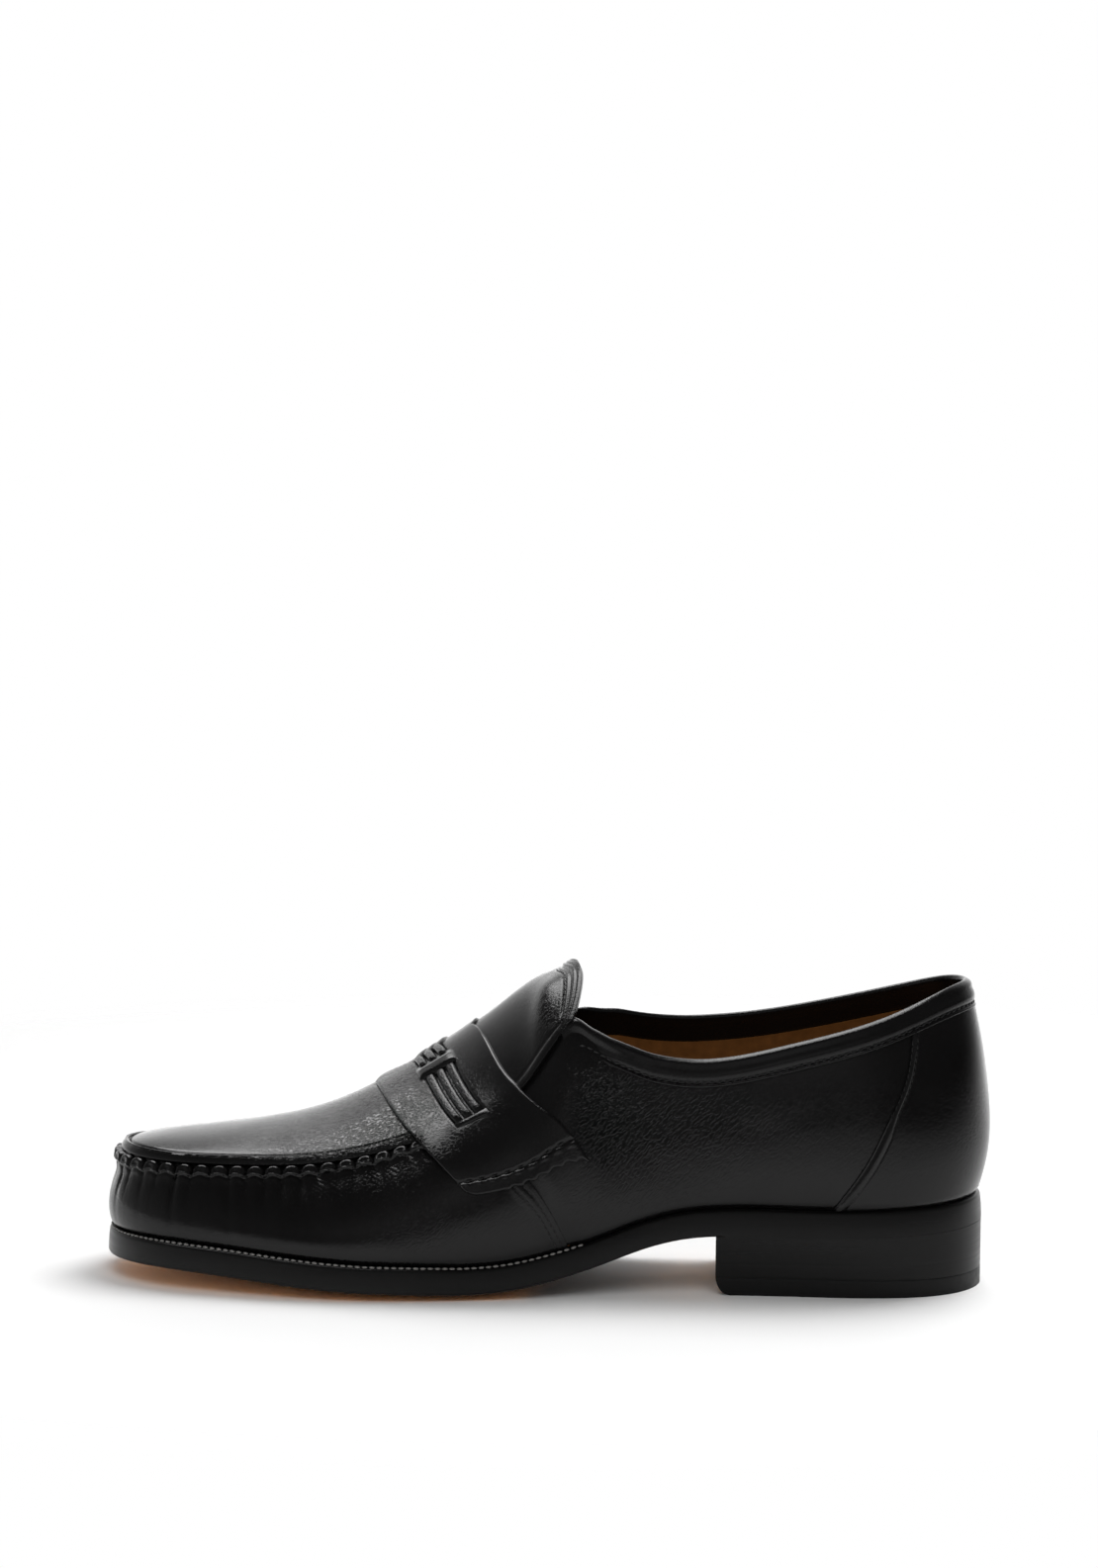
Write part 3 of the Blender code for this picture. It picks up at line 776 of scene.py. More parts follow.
# %% Strap edges and apron
STRAP_EDGES = ((0.0, 206.0, 173.0), (0.5, 200.5, 166.0), (1.0, 190.0, 156.0), (1.6, 168.5, 133.0))
STRAP_CURVE = table_curve(STRAP_EDGES)
FAR_EDGE = 3.5
APRON = 1.6
APRON_GAP = 0.2
LIP_BEADS = ((0.8, 0.35, 0.6), (-0.6, 1.7, 0.6))
LIP_WIDTH = 2.4
LIP_ROUND = 1.2
TOE_CROWN = 1.3
APRON_TUCK = 4.0
TOE_POLE = 0.04
LIP_ROWS = np.linspace(-5.2, 5.2, 2081)
LIP_LINE = wall(LIP_ROWS, 1.0)[:, :2]


def strap_a(across, share):
    """The station of a place on the strap; on the inner side its rear edge leaves the ridge squarely."""
    front, rear = np.moveaxis(STRAP_CURVE(np.abs(across)), -1, 0)
    square = FAR_EDGE * smooth(0.0, 0.4, across) * (1 - smooth(0.4, 1.6, across))
    return mix(front, rear + square, share)


def rim_distance(points):
    """Level distance from points to the apron's seam, a slice at a time to spare memory."""
    slices = np.array_split(points[:, None, :2], 40)
    return np.concatenate([np.hypot(*np.moveaxis(part - LIP_LINE, -1, 0)).min(-1) for part in slices])


def apron_place(u, v, layer):
    across = np.sin(np.pi / 2 * (2 * v - 1))
    end = row_at(strap_a(across, 0) - APRON_TUCK, across)
    row = mix(TOE_POLE, end, u**1.5)
    flat = hoop(row, across)
    before_strap = smooth(-3.5, 1.0, flat[:, 0] - strap_a(across, 0))
    near = rim_distance(flat)
    lip = hump(near, LIP_WIDTH) * before_strap
    bead = ridges(near, LIP_BEADS) * (1 - 0.5 * smooth(0.2, 0.8, across))
    crown = TOE_CROWN * (1 - across**4) * smooth(0.3, 1.8, row) * (1 - smooth(2.5, 4.5, row))
    foot = APRON_GAP * (1 - lip)
    top = APRON_GAP + APRON * mix(0.25, 1.0, before_strap) + bead * before_strap + crown
    bulge = LIP_ROUND * (1 - layer**2) * hump(near, 0.8) * before_strap
    upright = normal(hoop, np.maximum(row, 0.3), np.clip(across, -0.95, 0.95))
    up = unit(mix(upright, UP, lip[:, None]))
    out = outward(-np.sign(across) * row)
    return flat + up * mix(foot, top, layer)[:, None] + out * bulge[:, None]


apron = sheet("apron", 160, 140, apron_place, black_calf, ["apron"], layers=6)
mark_creases(apron, INSTEP_GRAIN)

# %% [markdown]
# ## The strap
# The strap crosses the instep and is sewn down low on both sides. Its ends are drawn in by coarse stitches,
# so they pucker a little and end in a gently waved edge. In its middle three narrow strips pass under a bar
# and through two slits, as in basket work.

# %% The strap
STRAP = 1.8
STRAP_LIFT = (0.5, 1.2)
STRAP_REACH = (1.535, 1.625)
STRAP_WIDTH = 38.0
STRAP_STITCH = 4.2
STRAP_HALF = 66.0
STRAP_ROUND = 0.7
STRAP_DIP = 0.4
STRAP_COLUMNS = ((0.0, 0.6, 1.0), (0.0, 0.88, 1.0))
STITCH_LINE = 0.933
GROOVE = 0.9
WINDOW = (-1.06, 0.40)
WINDOW_SHARES = (0.375, 0.685)


def strap_q(side, share):
    return side * mix(*STRAP_REACH, share)


def strap_point(across, share, height):
    return raised(skin, row_at(strap_a(across, share), across), across, height)


def strap_lift(across, share):
    """Height of the strap's underside: over the apron in front and its lip at the rims, low at the ends."""
    front = 1 - smooth(0.0, 0.3, share)
    over_lip = 1.4 * hump(np.abs(across) - 1.0, 0.07) * (1 - smooth(0.0, 0.14, share))
    at_end = smooth(1.25, 1.45, np.abs(across))
    dip = -STRAP_DIP * (1 - (2 * share - 1) ** 2)
    return (mix(*STRAP_LIFT, front) + dip) * (1 - 0.75 * at_end) + over_lip


def strap_place(u, v, layer):
    turn = np.pi * layer
    inset = STRAP_ROUND * (1 - np.sin(turn))
    layer = (1 - np.cos(turn)) / 2
    v = 0.5 + (v - 0.5) * (1 - 2 * inset / STRAP_WIDTH)
    side = np.sign(2 * u - 1) * np.interp(np.abs(2 * u - 1), *STRAP_COLUMNS) * (1 - inset / STRAP_HALF)
    end = smooth(0.95, 1.0, np.abs(side)) * smooth(0.25, 0.4, v)
    wave = np.cos(2 * np.pi * v * STRAP_WIDTH / STRAP_STITCH)
    corner_cut = 0.04 * np.clip(1 - v / 0.09, 0, 1) ** 2 * smooth(0.95, 1.0, np.abs(side))
    across = strap_q(side, v) + np.sign(side) * (end * 0.008 * wave - corner_cut)
    from_seam = (np.abs(side) - STITCH_LINE) * STRAP_HALF
    groove = -GROOVE * (0.75 + 0.25 * wave) * hump(from_seam, 0.55)
    lower_lip = 0.25 * (0.5 - 0.5 * wave) * hump(from_seam - 0.9, 0.5)
    in_window = between(*WINDOW, 0.05, across) * between(*WINDOW_SHARES, 0.025, v)
    return strap_point(across, v, strap_lift(across, v) + layer * (STRAP + groove + lower_lip - in_window))


strap = sheet("strap", 180, 80, strap_place, black_calf, ["strap"], layers=6)
mark_creases(strap, INSTEP_GRAIN)

# %% Woven strips, bar and slits
STRIP_SPANS = ((0.392, 0.475), (0.488, 0.571), (0.584, 0.667))
STRIP_REACH = {"lateral": (-1.04, -0.40), "medial": (-0.26, 0.38)}
STRIP_HEIGHT = 1.6
STRIP_DIVE = 1.4
BAR_SPAN = (-0.43, -0.21)
BAR_ENDS = (0.34, 0.715)
BAR_HEIGHT = 1.4
SLITS = {"lateral": -1.045, "medial": 0.385}
SLIT_WIDTH = 0.022
SLIT_SPAN = (0.375, 0.69)
SLIT_HEIGHT = 0.7
SUNK = 0.3


def strap_top(across, share):
    return strap_lift(across, share) + STRAP


def on_strap(across, share, lift, layer):
    """A point of a piece that lies on the strap, a little sunk into it."""
    return strap_point(across, share, strap_top(across, share) - SUNK + layer * (SUNK + lift))


def strip_place(start, end, front, rear):
    """A strip with a flat, round-edged back, whose ends dive into the slits."""
    def place(u, v, layer):
        across, share = mix(start, end, u), mix(front, rear, v)
        dive = STRIP_DIVE * (1 - smooth(0.0, 0.10, np.minimum(u, 1 - u)))
        back = np.sqrt(np.clip(1 - np.abs(2 * v - 1) ** 4, 0.0, 1.0))
        height = strap_top(across, share) - 1.0 + layer * (0.3 + STRIP_HEIGHT * back) - dive
        return strap_point(across, share, height)

    return place


def bar_place(u, v, layer):
    """The bar over the strips: steep on its near side, and level with the strap on its far side."""
    lift = BAR_HEIGHT * smooth(0.0, 0.10, u) * (1 - smooth(0.4, 1.0, u)) * (1 - np.abs(2 * v - 1) ** 6)
    return on_strap(mix(*BAR_SPAN, u), mix(*BAR_ENDS, v), lift, layer)


def slit_place(middle):
    """The raised lip of a slit, thin towards its two ends."""
    def place(u, v, layer):
        round_back = np.sqrt(np.clip(1 - (2 * u - 1) ** 2, 0.0, 1.0))
        lift = SLIT_HEIGHT * round_back * (1 - np.abs(2 * v - 1) ** 4)
        return on_strap(middle + SLIT_WIDTH * (2 * u - 1), mix(*SLIT_SPAN, v), lift, layer)

    return place


for side, (start, end) in STRIP_REACH.items():
    for number, (front, rear) in enumerate(STRIP_SPANS, 1):
        node = f"strip_{side}_{number}"
        place = strip_place(start, end, front, rear)
        sheet(f"woven_{node}", 60, 14, place, strip_calf, [node])
sheet("centre_bar", 24, 40, bar_place, black_calf)
for side, middle in SLITS.items():
    sheet(f"slit_lip_{side}", 10, 40, slit_place(middle), black_calf)

# %% [markdown]
# ## The tongue
# Behind the strap the tongue stands up past the throat. Its end is bound with a folded strip and stitched
# once, and its sides have a narrow rolled edge. The grid's rows are spaced by their distance from the free
# end. Even rows would be simpler, but the narrow binding would then step along the end's curve.

# %% The tongue
TONGUE = (1.2, 2.0)
TONGUE_END = (8.0, 0.31, 0.27, 0.30)
TONGUE_DROP = (
    (5.0, 3.4), (6.9, 3.4), (7.1, 3.1), (7.37, 2.8), (7.65, 2.1), (7.85, 1.0), (8.0, 0.2), (8.4, 0.0),
)
DROP_CURVE = table_curve(TONGUE_DROP)
TONGUE_TUCK = 3.0
TONGUE_BINDING = 3.2
TONGUE_STITCH = 5.0
TONGUE_ROLL = 0.45
TONGUE_GROOVES = ((-0.25, 1.5, 0.3), (-0.4, TONGUE_BINDING, 0.45))
TONGUE_HALF = 38.0
TONGUE_FINE = 12.0
FINE_SHARE = 0.6
ROW_LENGTH = 14.0
SWELL = 1.6
DROOP = 0.8


def tongue_end(across):
    """The row of the free end: it bulges beside the ridge, turns in at the corners and is short inside."""
    ridge, bulge, turn_in, inside = TONGUE_END
    return ridge + bulge * (1 - hump(across, 0.3)) - turn_in * across**4 - inside * np.maximum(across, 0)


def tongue_relief(side, from_end):
    """The rolled binding, its grooves, the stitched groove, a droop towards the end and two swells."""
    from_side = (1 - np.abs(side)) * TONGUE_HALF
    from_edge = -np.log(np.exp(-from_end) + np.exp(-1.4 * from_side))
    roll = TONGUE_ROLL * (1 - smooth(2.0, 3.6, from_edge)) + ridges(from_edge, TONGUE_GROOVES)
    row_of_holes = -0.6 * hump(from_end - TONGUE_STITCH, 0.45) * smooth(3.0, 7.0, from_side)
    droop = -DROOP * (1 - smooth(3.0, 15.0, from_end))
    swell = SWELL * hump(np.abs(side) - 0.5, 0.25) * hump(from_end - 11.0, 4.5)
    return roll + row_of_holes + droop + swell


def tongue_point(side, row, height):
    """A point of the tongue; its side edges reach down over the rims, which are at side -1 and 1."""
    reach = 1 + DROP_CURVE(row)[..., 0] / rib_length(np.where(side < 0, row, -row))
    return raised(skin, row, side * reach, height)


def tongue_place(u, v, layer):
    side = 2 * u - 1
    first = row_at(strap_a(side, 1) + TONGUE_TUCK, side)
    length = (tongue_end(side) - first) * ROW_LENGTH
    fine = TONGUE_FINE * np.minimum((1 - v) / FINE_SHARE, 1)
    coarse = (length - TONGUE_FINE) * np.maximum(1 - FINE_SHARE - v, 0) / (1 - FINE_SHARE)
    from_end = fine + coarse
    row = tongue_end(side) - from_end / ROW_LENGTH
    behind = strap_a(side, 1) - hoop(row, side)[:, 0]
    thick = mix(*TONGUE, smooth(0.0, 18.0, behind)) + tongue_relief(side, from_end)
    height = 0.1 + layer * thick * mix(0.3, 1.0, smooth(-2.5, -0.5, behind))
    return tongue_point(side, row, height)


tongue = sheet("tongue", 120, 100, tongue_place, black_calf, ["tongue"], edge=0.2)
mark_creases(tongue, INSTEP_GRAIN)

# %% [markdown]
# ## Counter and collar
# The counter is a second layer round the heel, and the collar is bound with a padded strip that folds over
# the rim and lies inside as a black facing. The strip's section is a short table, and a curve through it
# gives the roll, the pad, the stitched groove and the thin lower edge. Beside the tongue the strip sinks
# until it is flush with the quarter.

# %% The counter
COUNTER = 0.8
COUNTER_EDGE = (
    (24.0, 55.6), (30.2, 51.7), (43.9, 42.2), (58.4, 34.9), (70.9, 29.4), (87.0, 27.1), (100.0, 27.0),
)
COUNTER_CURVE = table_curve(COUNTER_EDGE)
COUNTER_TOP = 0.90
COUNTER_ROUND = 170.0
COUNTER_SEAMS = (0.8, 4.5)
COUNTER_PAD = ((0.4, 2.65, 1.1), (-0.25, 0.8, 0.45), (-0.25, 4.5, 0.45))
COLLAR_BAND = 7.7


def counter_row(rise):
    """The row at which the counter's front edge crosses the ribs at this rise, by halving."""
    low, high = np.full_like(rise, 9.0), np.full_like(rise, 13.8)
    for _ in range(24):
        middle = (low + high) / 2
        points = wall(middle, rise)
        behind = points[..., 0] < COUNTER_CURVE(points[..., 2])[..., 0]
        low, high = np.where(behind, low, middle), np.where(behind, middle, high)
    return low


def counter_place(u, v, layer):
    first = counter_row(COUNTER_TOP * v)
    share = mix((1 - np.cos(np.pi * u)) / 2, u, 0.35)
    row = mix(first, ROUND - first, share)
    length = rib_length(row)
    top = 1 - (COLLAR_BAND - 1.0 - rim_shift(row)) / length
    rise = top * v
    fall = (1 - rise) * length
    from_edge = np.minimum(share, 1 - share) * COUNTER_ROUND
    pad = ridges(from_edge, COUNTER_PAD)
    back = smooth(11.3, 13.3, np.minimum(row, ROUND - row))
    bulge = 0.9 * back * hump(wall(row, rise)[:, 2] - 47.0, 14.0)
    height = 0.1 + layer * (COUNTER + pad) + bulge + 0.8 * foot_tuck(fall, length)
    return raised(wall, row, rise, height)


counter = sheet("counter", 300, 60, counter_place, black_calf, ["counter"], edge=0.2)
mark_creases(counter)

# %% The collar
COLLAR_START = 7.75
STRAIGHT_FROM = 8.45
RIM_POINT = 11
# The band's section: out from the last and up from the rim, for its face and then for its back
COLLAR_SECTION = (
    (0.35, -8.0, 0.1, -7.9),
    (1.05, -7.7, 0.1, -7.4),
    (1.05, -7.1, 0.1, -6.9),
    (0.55, -6.4, 0.1, -6.3),
    (1.10, -5.6, 0.1, -5.6),
    (1.55, -4.6, 0.1, -4.6),
    (1.55, -3.4, 0.1, -3.4),
    (1.35, -2.3, 0.1, -2.3),
    (1.30, -1.2, 0.1, -1.2),
    (1.15, -0.2, 0.05, -0.2),
    (0.45, 0.65, -0.1, 0.0),
    (-0.4, 1.15, -0.5, 0.1),
    (-1.25, 1.0, -0.9, 0.0),
    (-1.75, 0.0, -1.05, -0.3),
    (-1.75, -2.5, -1.1, -2.5),
    (-1.85, -5.5, -1.1, -5.5),
    (-1.85, -7.4, -1.1, -7.4),
    (-1.5, -7.8, -1.15, -7.8),
)
COLLAR_CURVE = spline(np.arange(len(COLLAR_SECTION)), COLLAR_SECTION)


def collar_shift(row):
    """The shift of the collar's lower edge, which runs straight on under the tongue."""
    return rim_shift(np.clip(row, STRAIGHT_FROM, ROUND - STRAIGHT_FROM))


def collar_full(row):
    """How far the band stands out: flush with the quarter beside the tongue, and full further back."""
    return smooth(0.3, 2.0, np.minimum(row, ROUND - row) - COLLAR_START)


def collar_place(u, v, layer):
    row = mix(COLLAR_START, ROUND - COLLAR_START, u)
    point = v * (len(COLLAR_SECTION) - 1)
    out, up, back_out, back_up = np.moveaxis(COLLAR_CURVE(point), -1, 0)
    out = np.where(layer > 0.5, out, back_out)
    up = np.where(layer > 0.5, up, back_up)
    flush = (1 - smooth(-4.0, -1.5, up)) * (1 - collar_full(row)) * (point < RIM_POINT)
    out = mix(out, np.where(layer > 0.5, -0.4, -0.8), flush)
    shift = mix(collar_shift(row), rim_shift(row), smooth(-6.0, -1.5, up))
    return raised(wall, row, 1 + (up + shift) / rib_length(row), out)


collar = sheet("collar", 300, 68, collar_place, black_calf, ["collar"])
mark_creases(collar)

# %% [markdown]
# ## Sole and heel
# The sole is two layers of leather with a waxed black edge, over a tan underside. Each is a sheet again,
# filled across the sole's outline, with enough layers to round its edge. The heel is a stack of lifts, and
# fine lines show where they meet.

# %% Outsole and welt
OUTSOLE = 5.15
WELT = 3.75
EDGE_ROUND = 1.1
EDGE_LEAN = 0.7
TAN_BELOW = 3.2
FACES_DOWN = -0.97


def corner(distance, radius):
    """How far a round corner falls back, at a distance from the end of its edge."""
    return radius * (1 - np.sqrt(1 - np.clip(1 - distance / radius, 0, 1) ** 2))


def edge_lean(height):
    """How far the sole's edge leans in, at a height above its underside."""
    return EDGE_LEAN * (height / (OUTSOLE + WELT)) ** 2


def welt_reach(row):
    """How far the sole stands out past the foot line."""
    return rails(row)[-1]


def sole_layer(low, thick, round_end):
    """A layer of the sole, with a round corner at its layer 0 or 1, and none over the heel's joint."""
    def place(u, v, layer):
        row, share = u * HEEL_ROW, 2 * v - 1
        free = 1.0 if round_end else smooth(87.0, 92.0, rails(row)[0])
        fallen = free * corner(np.abs(layer - round_end) * thick, EDGE_ROUND)
        a, y = across_sole(row, share, welt_reach(row) - fallen - edge_lean(low + layer * thick))
        return np.stack((a, y, sole_under(a, sole_share(row, share)) + low + layer * thick), -1)

    return place


outsole_place = sole_layer(0.0, OUTSOLE, 0)
welt_place = sole_layer(OUTSOLE, WELT, 1)
outsole = sheet(
    "outsole_dressed", 260, 40, outsole_place, edge_wax, ["outsole"], layers=12
)
outsole.data.materials.append(tan_sole)
for face in outsole.data.polygons:
    a = MIDDLE[0] - face.center.x / MM
    low = sole_under(np.array(a), 0.0) + TAN_BELOW
    if face.normal.z < FACES_DOWN and face.center.z / MM < low:
        face.material_index = 1
sheet("welt_dressed", 260, 40, welt_place, edge_wax, ["welt"], layers=10)

# %% The heel
TOP_PIECE = 6.0
HEEL_BREAST = 90.5
HEEL_INSET = 0.05
HEEL_TAPER = 4.0
HEEL_ROUND = (5.0, 7.2)
HEEL_HEIGHT = 22.3
HEEL_GAP = 0.05
LIFT_LINE = 0.06
LIFT_JOINT = 11.0
heel_rows = np.linspace(8, 13, 101)
BREAST_ROW = float(np.interp(-HEEL_BREAST, -rails(heel_rows)[0], heel_rows))


def heel_layer(low, high, lines):
    """A part of the heel from one height to another; lines are the heights of the joints in it."""
    def place(u, v, layer):
        row, share = mix(BREAST_ROW, HEEL_ROW, u), 2 * v - 1
        a, y = across_sole(row, share, np.zeros_like(row))
        z = mix(low, high(a, share), layer)
        taper = HEEL_TAPER * (1 - u) ** 2 * (1 - z / HEEL_HEIGHT)
        cut = sum(LIFT_LINE * hump(z - line, 0.22) for line in lines)
        a, y = across_sole(row, share, welt_reach(row) - HEEL_INSET - taper - cut)
        a = a - HEEL_ROUND[0] / HEEL_ROUND[1] * corner(z, HEEL_ROUND[1]) * (1 - u) ** 6
        return np.stack((a, y, z), -1)

    return place


def flat_top(a, share):
    return np.full_like(a, TOP_PIECE)


def under_sole(a, share):
    return sole_under(a, share) - HEEL_GAP


top_place = heel_layer(0.0, flat_top, (TOP_PIECE,))
stack_place = heel_layer(TOP_PIECE + HEEL_GAP, under_sole, (TOP_PIECE, LIFT_JOINT))
sheet(
    "heel_top", 120, 24, top_place, heel_rubber, ["heel_top_piece"], layers=12, edge=0.3
)
sheet("heel_lifts", 120, 24, stack_place, edge_wax, ["heel_stack"], layers=36)

# %% [markdown]
# ## Stitches
# Thread shows as short capsules that dip into the leather at both ends. Hundreds of them are needed, so
# each is a sphere of a few dozen faces, stretched along its seam, and all those of one seam are one mesh.

# %% Stitch maker


def stitches(name, lines, pitch, size, material, slant=0.0):
    """Stitches along lines. A line is a face, arrays u and v, and heights; size is three diameters."""
    bm = bmesh.new()
    for face, u, v, height in lines:
        points, ups = to_world(raised(face, u, v, height)), normal(face, u, v) * (-1, 1, 1)
        steps = np.linalg.norm(np.diff(points, axis=0), axis=-1)
        reach = np.concatenate([[0.0], np.cumsum(steps)])
        for s in np.arange(pitch / 2 * MM, reach[-1], pitch * MM):
            here, ahead = ([np.interp(s + d, reach, points[:, k]) for k in range(3)] for d in (0, 0.0002))
            up = Vector([np.interp(s, reach, ups[:, k]) for k in range(3)]).normalized()
            forward = (Vector(ahead) - Vector(here)).normalized()
            forward.rotate(Matrix.Rotation(slant, 3, up))
            side = up.cross(forward)
            length, width, thick = (x * MM / 2 for x in size)
            turn = Matrix((side * width, up * thick, forward * length)).transposed().to_4x4()
            bmesh.ops.create_uvsphere(
                bm, u_segments=6, v_segments=5, radius=1.0, matrix=Matrix.Translation(here) @ turn
            )
    bmesh.ops.recalc_face_normals(bm, faces=bm.faces)
    return piece_from(bm, name, material, ())


def pair(face, rows, v, height):
    """The same line on the outer and on the inner side."""
    return [(face, rows, v, height), (face, -rows, v, height)]


print("stitch maker ready")

# %% Upper stitches
collar_rows = np.linspace(THROAT_ROW + 0.12, ROUND - THROAT_ROW - 0.12, 400)
collar_rises = 1 + (collar_shift(collar_rows) - 6.4) / rib_length(collar_rows)
collar_line = (wall, collar_rows, collar_rises, 0.05 + 0.6 * collar_full(collar_rows))
stitches("collar_stitches", [collar_line], 2.5, (1.9, 0.6, 0.6), black_thread, 0.2)

gather_lines = []
first, last = (int(along_rim(row) / GATHER_PITCH) for row in (-GATHER_ENDS[0], GATHER_ENDS[0]))
for number in range(first, last):
    lengths = (number + np.linspace(0.2, 0.8, 9)) * GATHER_PITCH
    lobe_rows = np.interp(lengths, RIM_LENGTHS, TOE_ROWS)
    lobe_falls = np.full(9, LOBE_STITCH)
    heights = gathers(lobe_rows, lobe_falls) + 0.1
    gather_lines.append((wall, lobe_rows, 1 - lobe_falls / rib_length(lobe_rows), heights))
stitches("gather_stitches", gather_lines, 3.4, (2.6, 0.6, 0.5), black_thread)

rises = np.linspace(0.03, 0.60, 80)
seam_lines = []
for back in SEAM_STITCHES:
    heights = np.full(80, seam_relief(back) + 0.02)
    seam_lines += pair(wall, seam_row(rises) - back / SEAM_ROW_LENGTH, rises, heights)
stitches("vamp_stitches", seam_lines, 2.2, (1.7, 0.5, 0.5), black_thread, 0.15)

rises = np.linspace(0.03, 0.86, 120)
counter_first = counter_row(rises)
counter_lines = []
for seam in COUNTER_SEAMS:
    seam_rows = mix(counter_first, ROUND - counter_first, seam / COUNTER_ROUND)
    counter_lines += pair(wall, seam_rows, rises, np.full(120, COUNTER - 0.12))
stitches("counter_stitches", counter_lines, 2.2, (1.7, 0.5, 0.5), black_thread, 0.15)

sides = np.linspace(-0.86, 0.86, 200)
heights = TONGUE[1] + tongue_relief(sides, np.full(200, TONGUE_STITCH)) + 0.12
tongue_line = (hoop, tongue_end(sides) - TONGUE_STITCH / ROW_LENGTH, sides, heights)
stitches("tongue_stitches", [tongue_line], 2.3, (1.8, 0.55, 0.5), black_thread, 0.15)

shares = np.linspace(0.03, 0.97, 90)
strap_lines = []
for side in (-1, 1):
    ends = side * (STITCH_LINE * strap_q(1.0, shares))
    strap_rows = row_at(strap_a(ends, shares), ends)
    strap_lines.append((skin, strap_rows, ends, strap_top(ends, shares) - 0.75))
stitches("strap_stitches", strap_lines, STRAP_STITCH, (3.4, 0.8, 0.8), black_thread, 0.1)

# %% Welt stitches


def welt_top(row, outset):
    """The welt's upper face: a point outset millimetres outside the foot line."""
    place = np.moveaxis(rails(row)[:2], 0, -1) + (outset * outward(row).T).T[..., :2]
    z = sole_under(rails(row)[0], 1) + OUTSOLE + WELT
    return np.concatenate((place, z[..., None]), -1)


welt_rows = np.linspace(-8.2, 8.2, 900)
welt_line = (welt_top, welt_rows, welt_reach(welt_rows) - EDGE_LEAN - 0.6, np.full(900, -0.2))
stitches("welt_stitches", [welt_line], 2.4, (1.9, 0.8, 0.8), waxed_thread)

# %% [markdown]
# ## Studio
# The photograph is high key: a white floor runs into a white background, and a dark room on the camera's
# side keeps the near leather deep black. The world is white to the camera. For everything else it is bright
# behind the shoe, beside the toe and below, with a small glow in front. Three soft lights add to it. One
# shows only in the leather's gloss, and the other two only light the floor and the lining. A single light
# would be simpler, but then gloss and shadow could not be set apart.

# %% World
BACKDROP = (2.4, 2.0)
BESIDE_TOE = (-0.3, -1.0, 0.0, 0.42)
LOW_DOWN = (0.1, 0.6, 1.0, 0.1)
BELOW = (0.0, -0.06, 0.0, 0.9)
ROOM = (0.05, 0.10)
ROOM_MIDDLE = 0.5
ROOM_SPREAD = 2.6
FRONT_AIM = (-0.07, -0.95, 0.31)
FRONT_GLOW = (40.0, 0.48)


def beam(tree, cosine, power, strength):
    """A light that falls off with a power of the cosine to its middle."""
    facing = maths(tree, "MAXIMUM", cosine, 0.0)
    return maths(tree, "MULTIPLY", maths(tree, "POWER", facing, power), strength)


tree = scene.world.node_tree if scene.world else None
if tree is None:
    scene.world = bpy.data.worlds.new("studio")
    scene.world.use_nodes = True
    tree = scene.world.node_tree
tree.nodes.clear()
ray = add_node(tree, "TexCoord", {}).outputs["Generated"]
ray_x, ray_y, ray_z = add_node(tree, "SeparateXYZ", {0: ray}).outputs
backdrop = beam(tree, ray_y, *BACKDROP)
toe_side = maths(tree, "MULTIPLY", remap(tree, ray_x, *BESIDE_TOE), remap(tree, ray_z, *LOW_DOWN))
off_middle = maths(tree, "MULTIPLY", maths(tree, "SUBTRACT", ray_z, ROOM_MIDDLE), ROOM_SPREAD)
room = maths(tree, "SUBTRACT", 1.0, maths(tree, "MULTIPLY", off_middle, off_middle))
room = maths(tree, "MULTIPLY", maths(tree, "MAXIMUM", room, 0.0), ROOM[1])
room = maths(tree, "ADD", room, ROOM[0])
below = remap(tree, ray_z, *BELOW)
toward = add_node(tree, "VectorMath", {0: ray, 1: FRONT_AIM}, operation="DOT_PRODUCT")
front = beam(tree, toward.outputs["Value"], *FRONT_GLOW)
strength = room
for part in (backdrop, toe_side, below, front):
    strength = maths(tree, "ADD", strength, part)
graded = add_node(tree, "Background", {"Strength": strength})
white = add_node(tree, "Background", {"Strength": 1.0, "Color": (1, 1, 1, 1)})
seen = add_node(tree, "LightPath", {}).outputs["Is Camera Ray"]
mixed = add_node(tree, "MixShader", {0: seen, 1: graded.outputs[0], 2: white.outputs[0]})
tree.links.new(mixed.outputs[0], add_node(tree, "OutputWorld", {}).inputs["Surface"])

print("world with", len(tree.nodes), "nodes")

# %% Floor
FLOOR_SIZE = (0.50, 0.42, 1.0)
FLOOR_MIDDLE = (0.0, 0.16, 0.0)
FLOOR_WHITE = (0.98, 0.98, 0.98, 1)
FLOOR_FADE = (0.72, 0.99)
bm = bmesh.new()
bmesh.ops.create_circle(bm, cap_ends=True, segments=128, radius=1.0)
bmesh.ops.scale(bm, vec=FLOOR_SIZE, verts=bm.verts)
bmesh.ops.translate(bm, vec=FLOOR_MIDDLE, verts=bm.verts)
floor_mesh = bpy.data.meshes.new("floor")
bm.to_mesh(floor_mesh)
bm.free()
floor = bpy.data.objects.new("floor", floor_mesh)
scene.collection.objects.link(floor)
floor_paper, tree, shader, place = new_material("floor_paper", Base_Color=FLOOR_WHITE, Roughness=0.9)
middle = {"Vector": place, "Location": FLOOR_MIDDLE, "Scale": FLOOR_SIZE}
shrunk = add_node(tree, "Mapping", middle, vector_type="TEXTURE").outputs[0]
radius = add_node(tree, "VectorMath", {0: shrunk}, operation="LENGTH").outputs["Value"]
fading = remap(tree, radius, *FLOOR_FADE, 0.0, 1.0)
clear = add_node(tree, "BsdfTransparent", {})
edge_mix = add_node(tree, "MixShader", {0: fading, 1: shader.outputs[0], 2: clear.outputs[0]})
tree.links.new(edge_mix.outputs[0], tree.nodes["Material Output"].inputs["Surface"])
floor_mesh.materials.append(floor_paper)
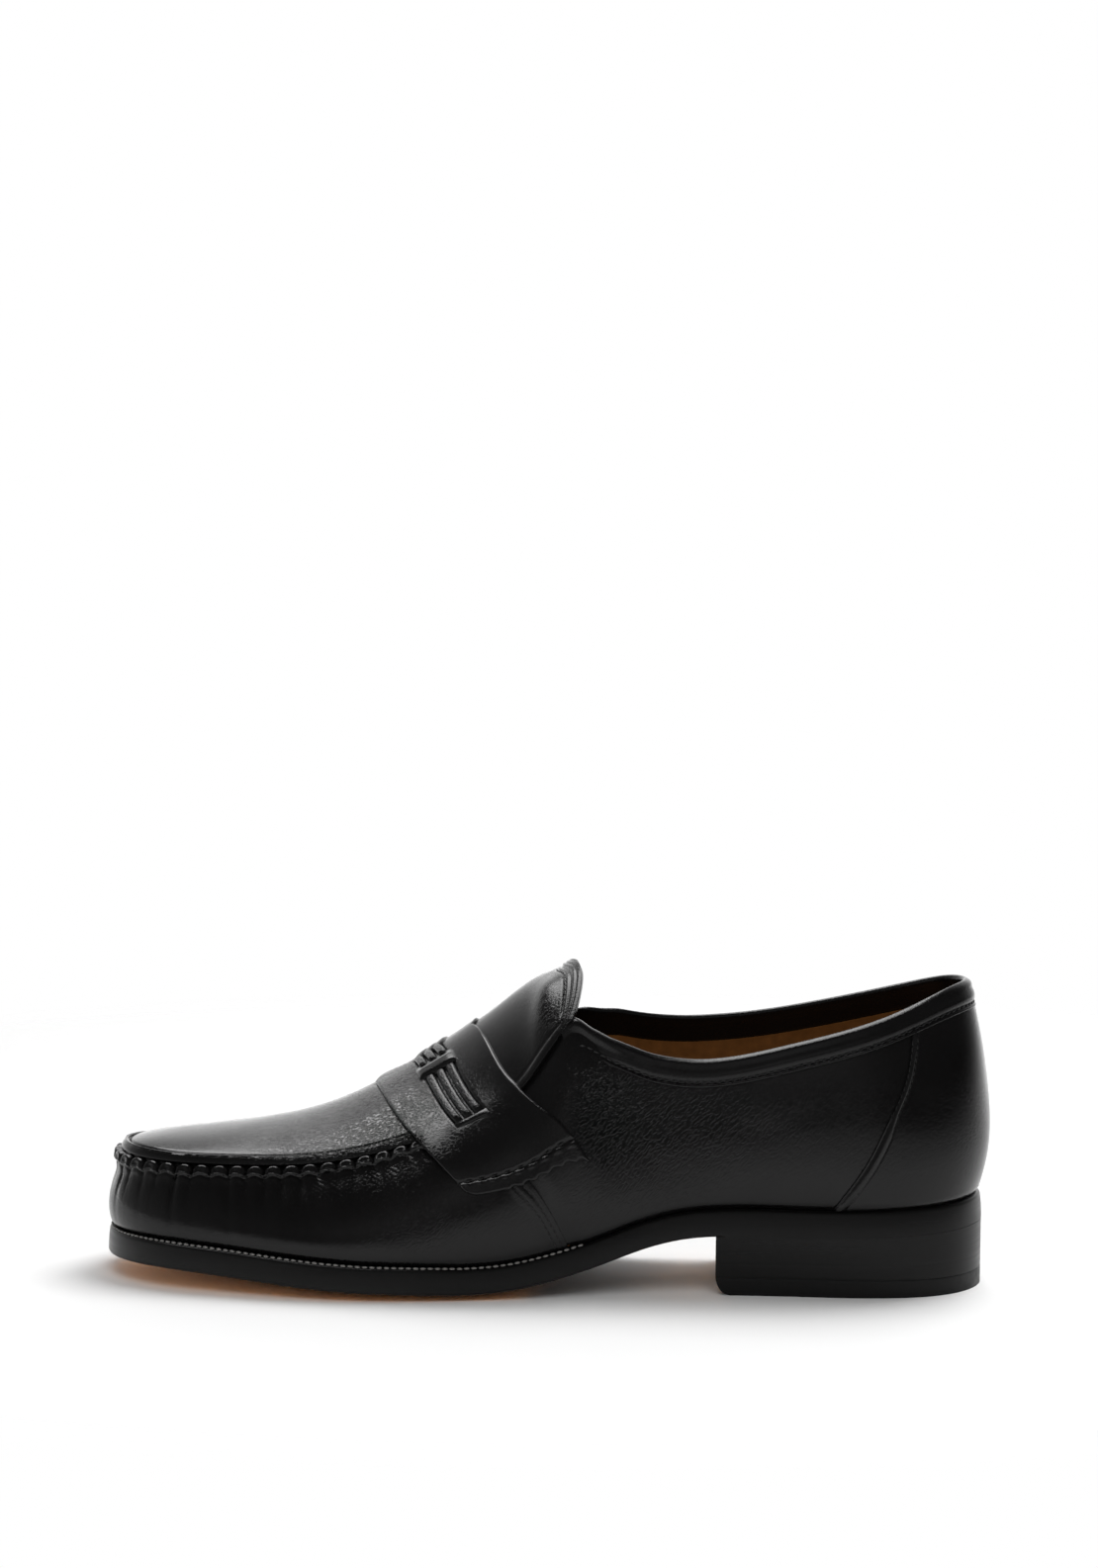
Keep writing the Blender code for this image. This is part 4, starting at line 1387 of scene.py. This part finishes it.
print("floor", [round(2 * x, 2) for x in FLOOR_SIZE[:2]], "m")

# %% Lights


def softbox(name, place, size, power, aim, in_reflections):
    """A soft light that either shows in the leather's reflections, or lights the floor and the lining."""
    light = bpy.data.lights.new(name, "AREA")
    light.shape = "RECTANGLE"
    light.size, light.size_y = size
    light.energy = power
    lamp = bpy.data.objects.new(name, light)
    scene.collection.objects.link(lamp)
    lamp.visible_glossy = in_reflections
    lamp.visible_diffuse = not in_reflections
    lamp.location = place
    lamp.rotation_mode = "QUATERNION"
    lamp.rotation_quaternion = (Vector(aim) - Vector(place)).to_track_quat("-Z", "Y")


softbox("key_light", (-0.43, 0.48, 1.25), (0.86, 1.16), 24.0, (-0.43, 0.48, 0.0), True)
softbox("top_light", (0.42, 0.42, 1.38), (0.8, 0.8), 18.0, (0.0, 0.0, 0.05), False)
softbox("front_light", (0.1, -1.1, 1.3), (1.0, 1.0), 8.0, (0.0, 0.0, 0.05), False)

# %% [markdown]
# ## Camera
# The view is almost square on to the shoe's outer side, a little from the heel and a little from above. A
# long lens keeps the perspective flat. The shoe stands low in a tall picture, so the lens is shifted
# instead of tilted, which keeps its upright lines upright.

# %% Camera
PICTURE = (1110, 1585)
AIM_PIXEL = (551.3, 1136.5)
AIM = Vector((0.0, 0.0, 0.051))
AZIMUTH, ELEVATION = np.radians(4.0), np.radians(11.0)
DISTANCE = 1.6
PIXEL = 0.0003322
back = Vector((
    np.sin(AZIMUTH) * np.cos(ELEVATION), -np.cos(AZIMUTH) * np.cos(ELEVATION), np.sin(ELEVATION),
))
lens = bpy.data.cameras.new("camera")
lens.sensor_width = 36.0
lens.lens = lens.sensor_width * DISTANCE / (PIXEL * PICTURE[1])
lens.shift_x = (PICTURE[0] / 2 - AIM_PIXEL[0]) / PICTURE[1]
lens.shift_y = (AIM_PIXEL[1] - PICTURE[1] / 2) / PICTURE[1]
camera = bpy.data.objects.new("camera", lens)
scene.collection.objects.link(camera)
camera.location = AIM + back * DISTANCE
camera.rotation_mode = "QUATERNION"
camera.rotation_quaternion = (-back).to_track_quat("-Z", "Y")
scene.camera = camera
scene.view_settings.view_transform = "Standard"
print("lens", round(lens.lens, 1), "mm")
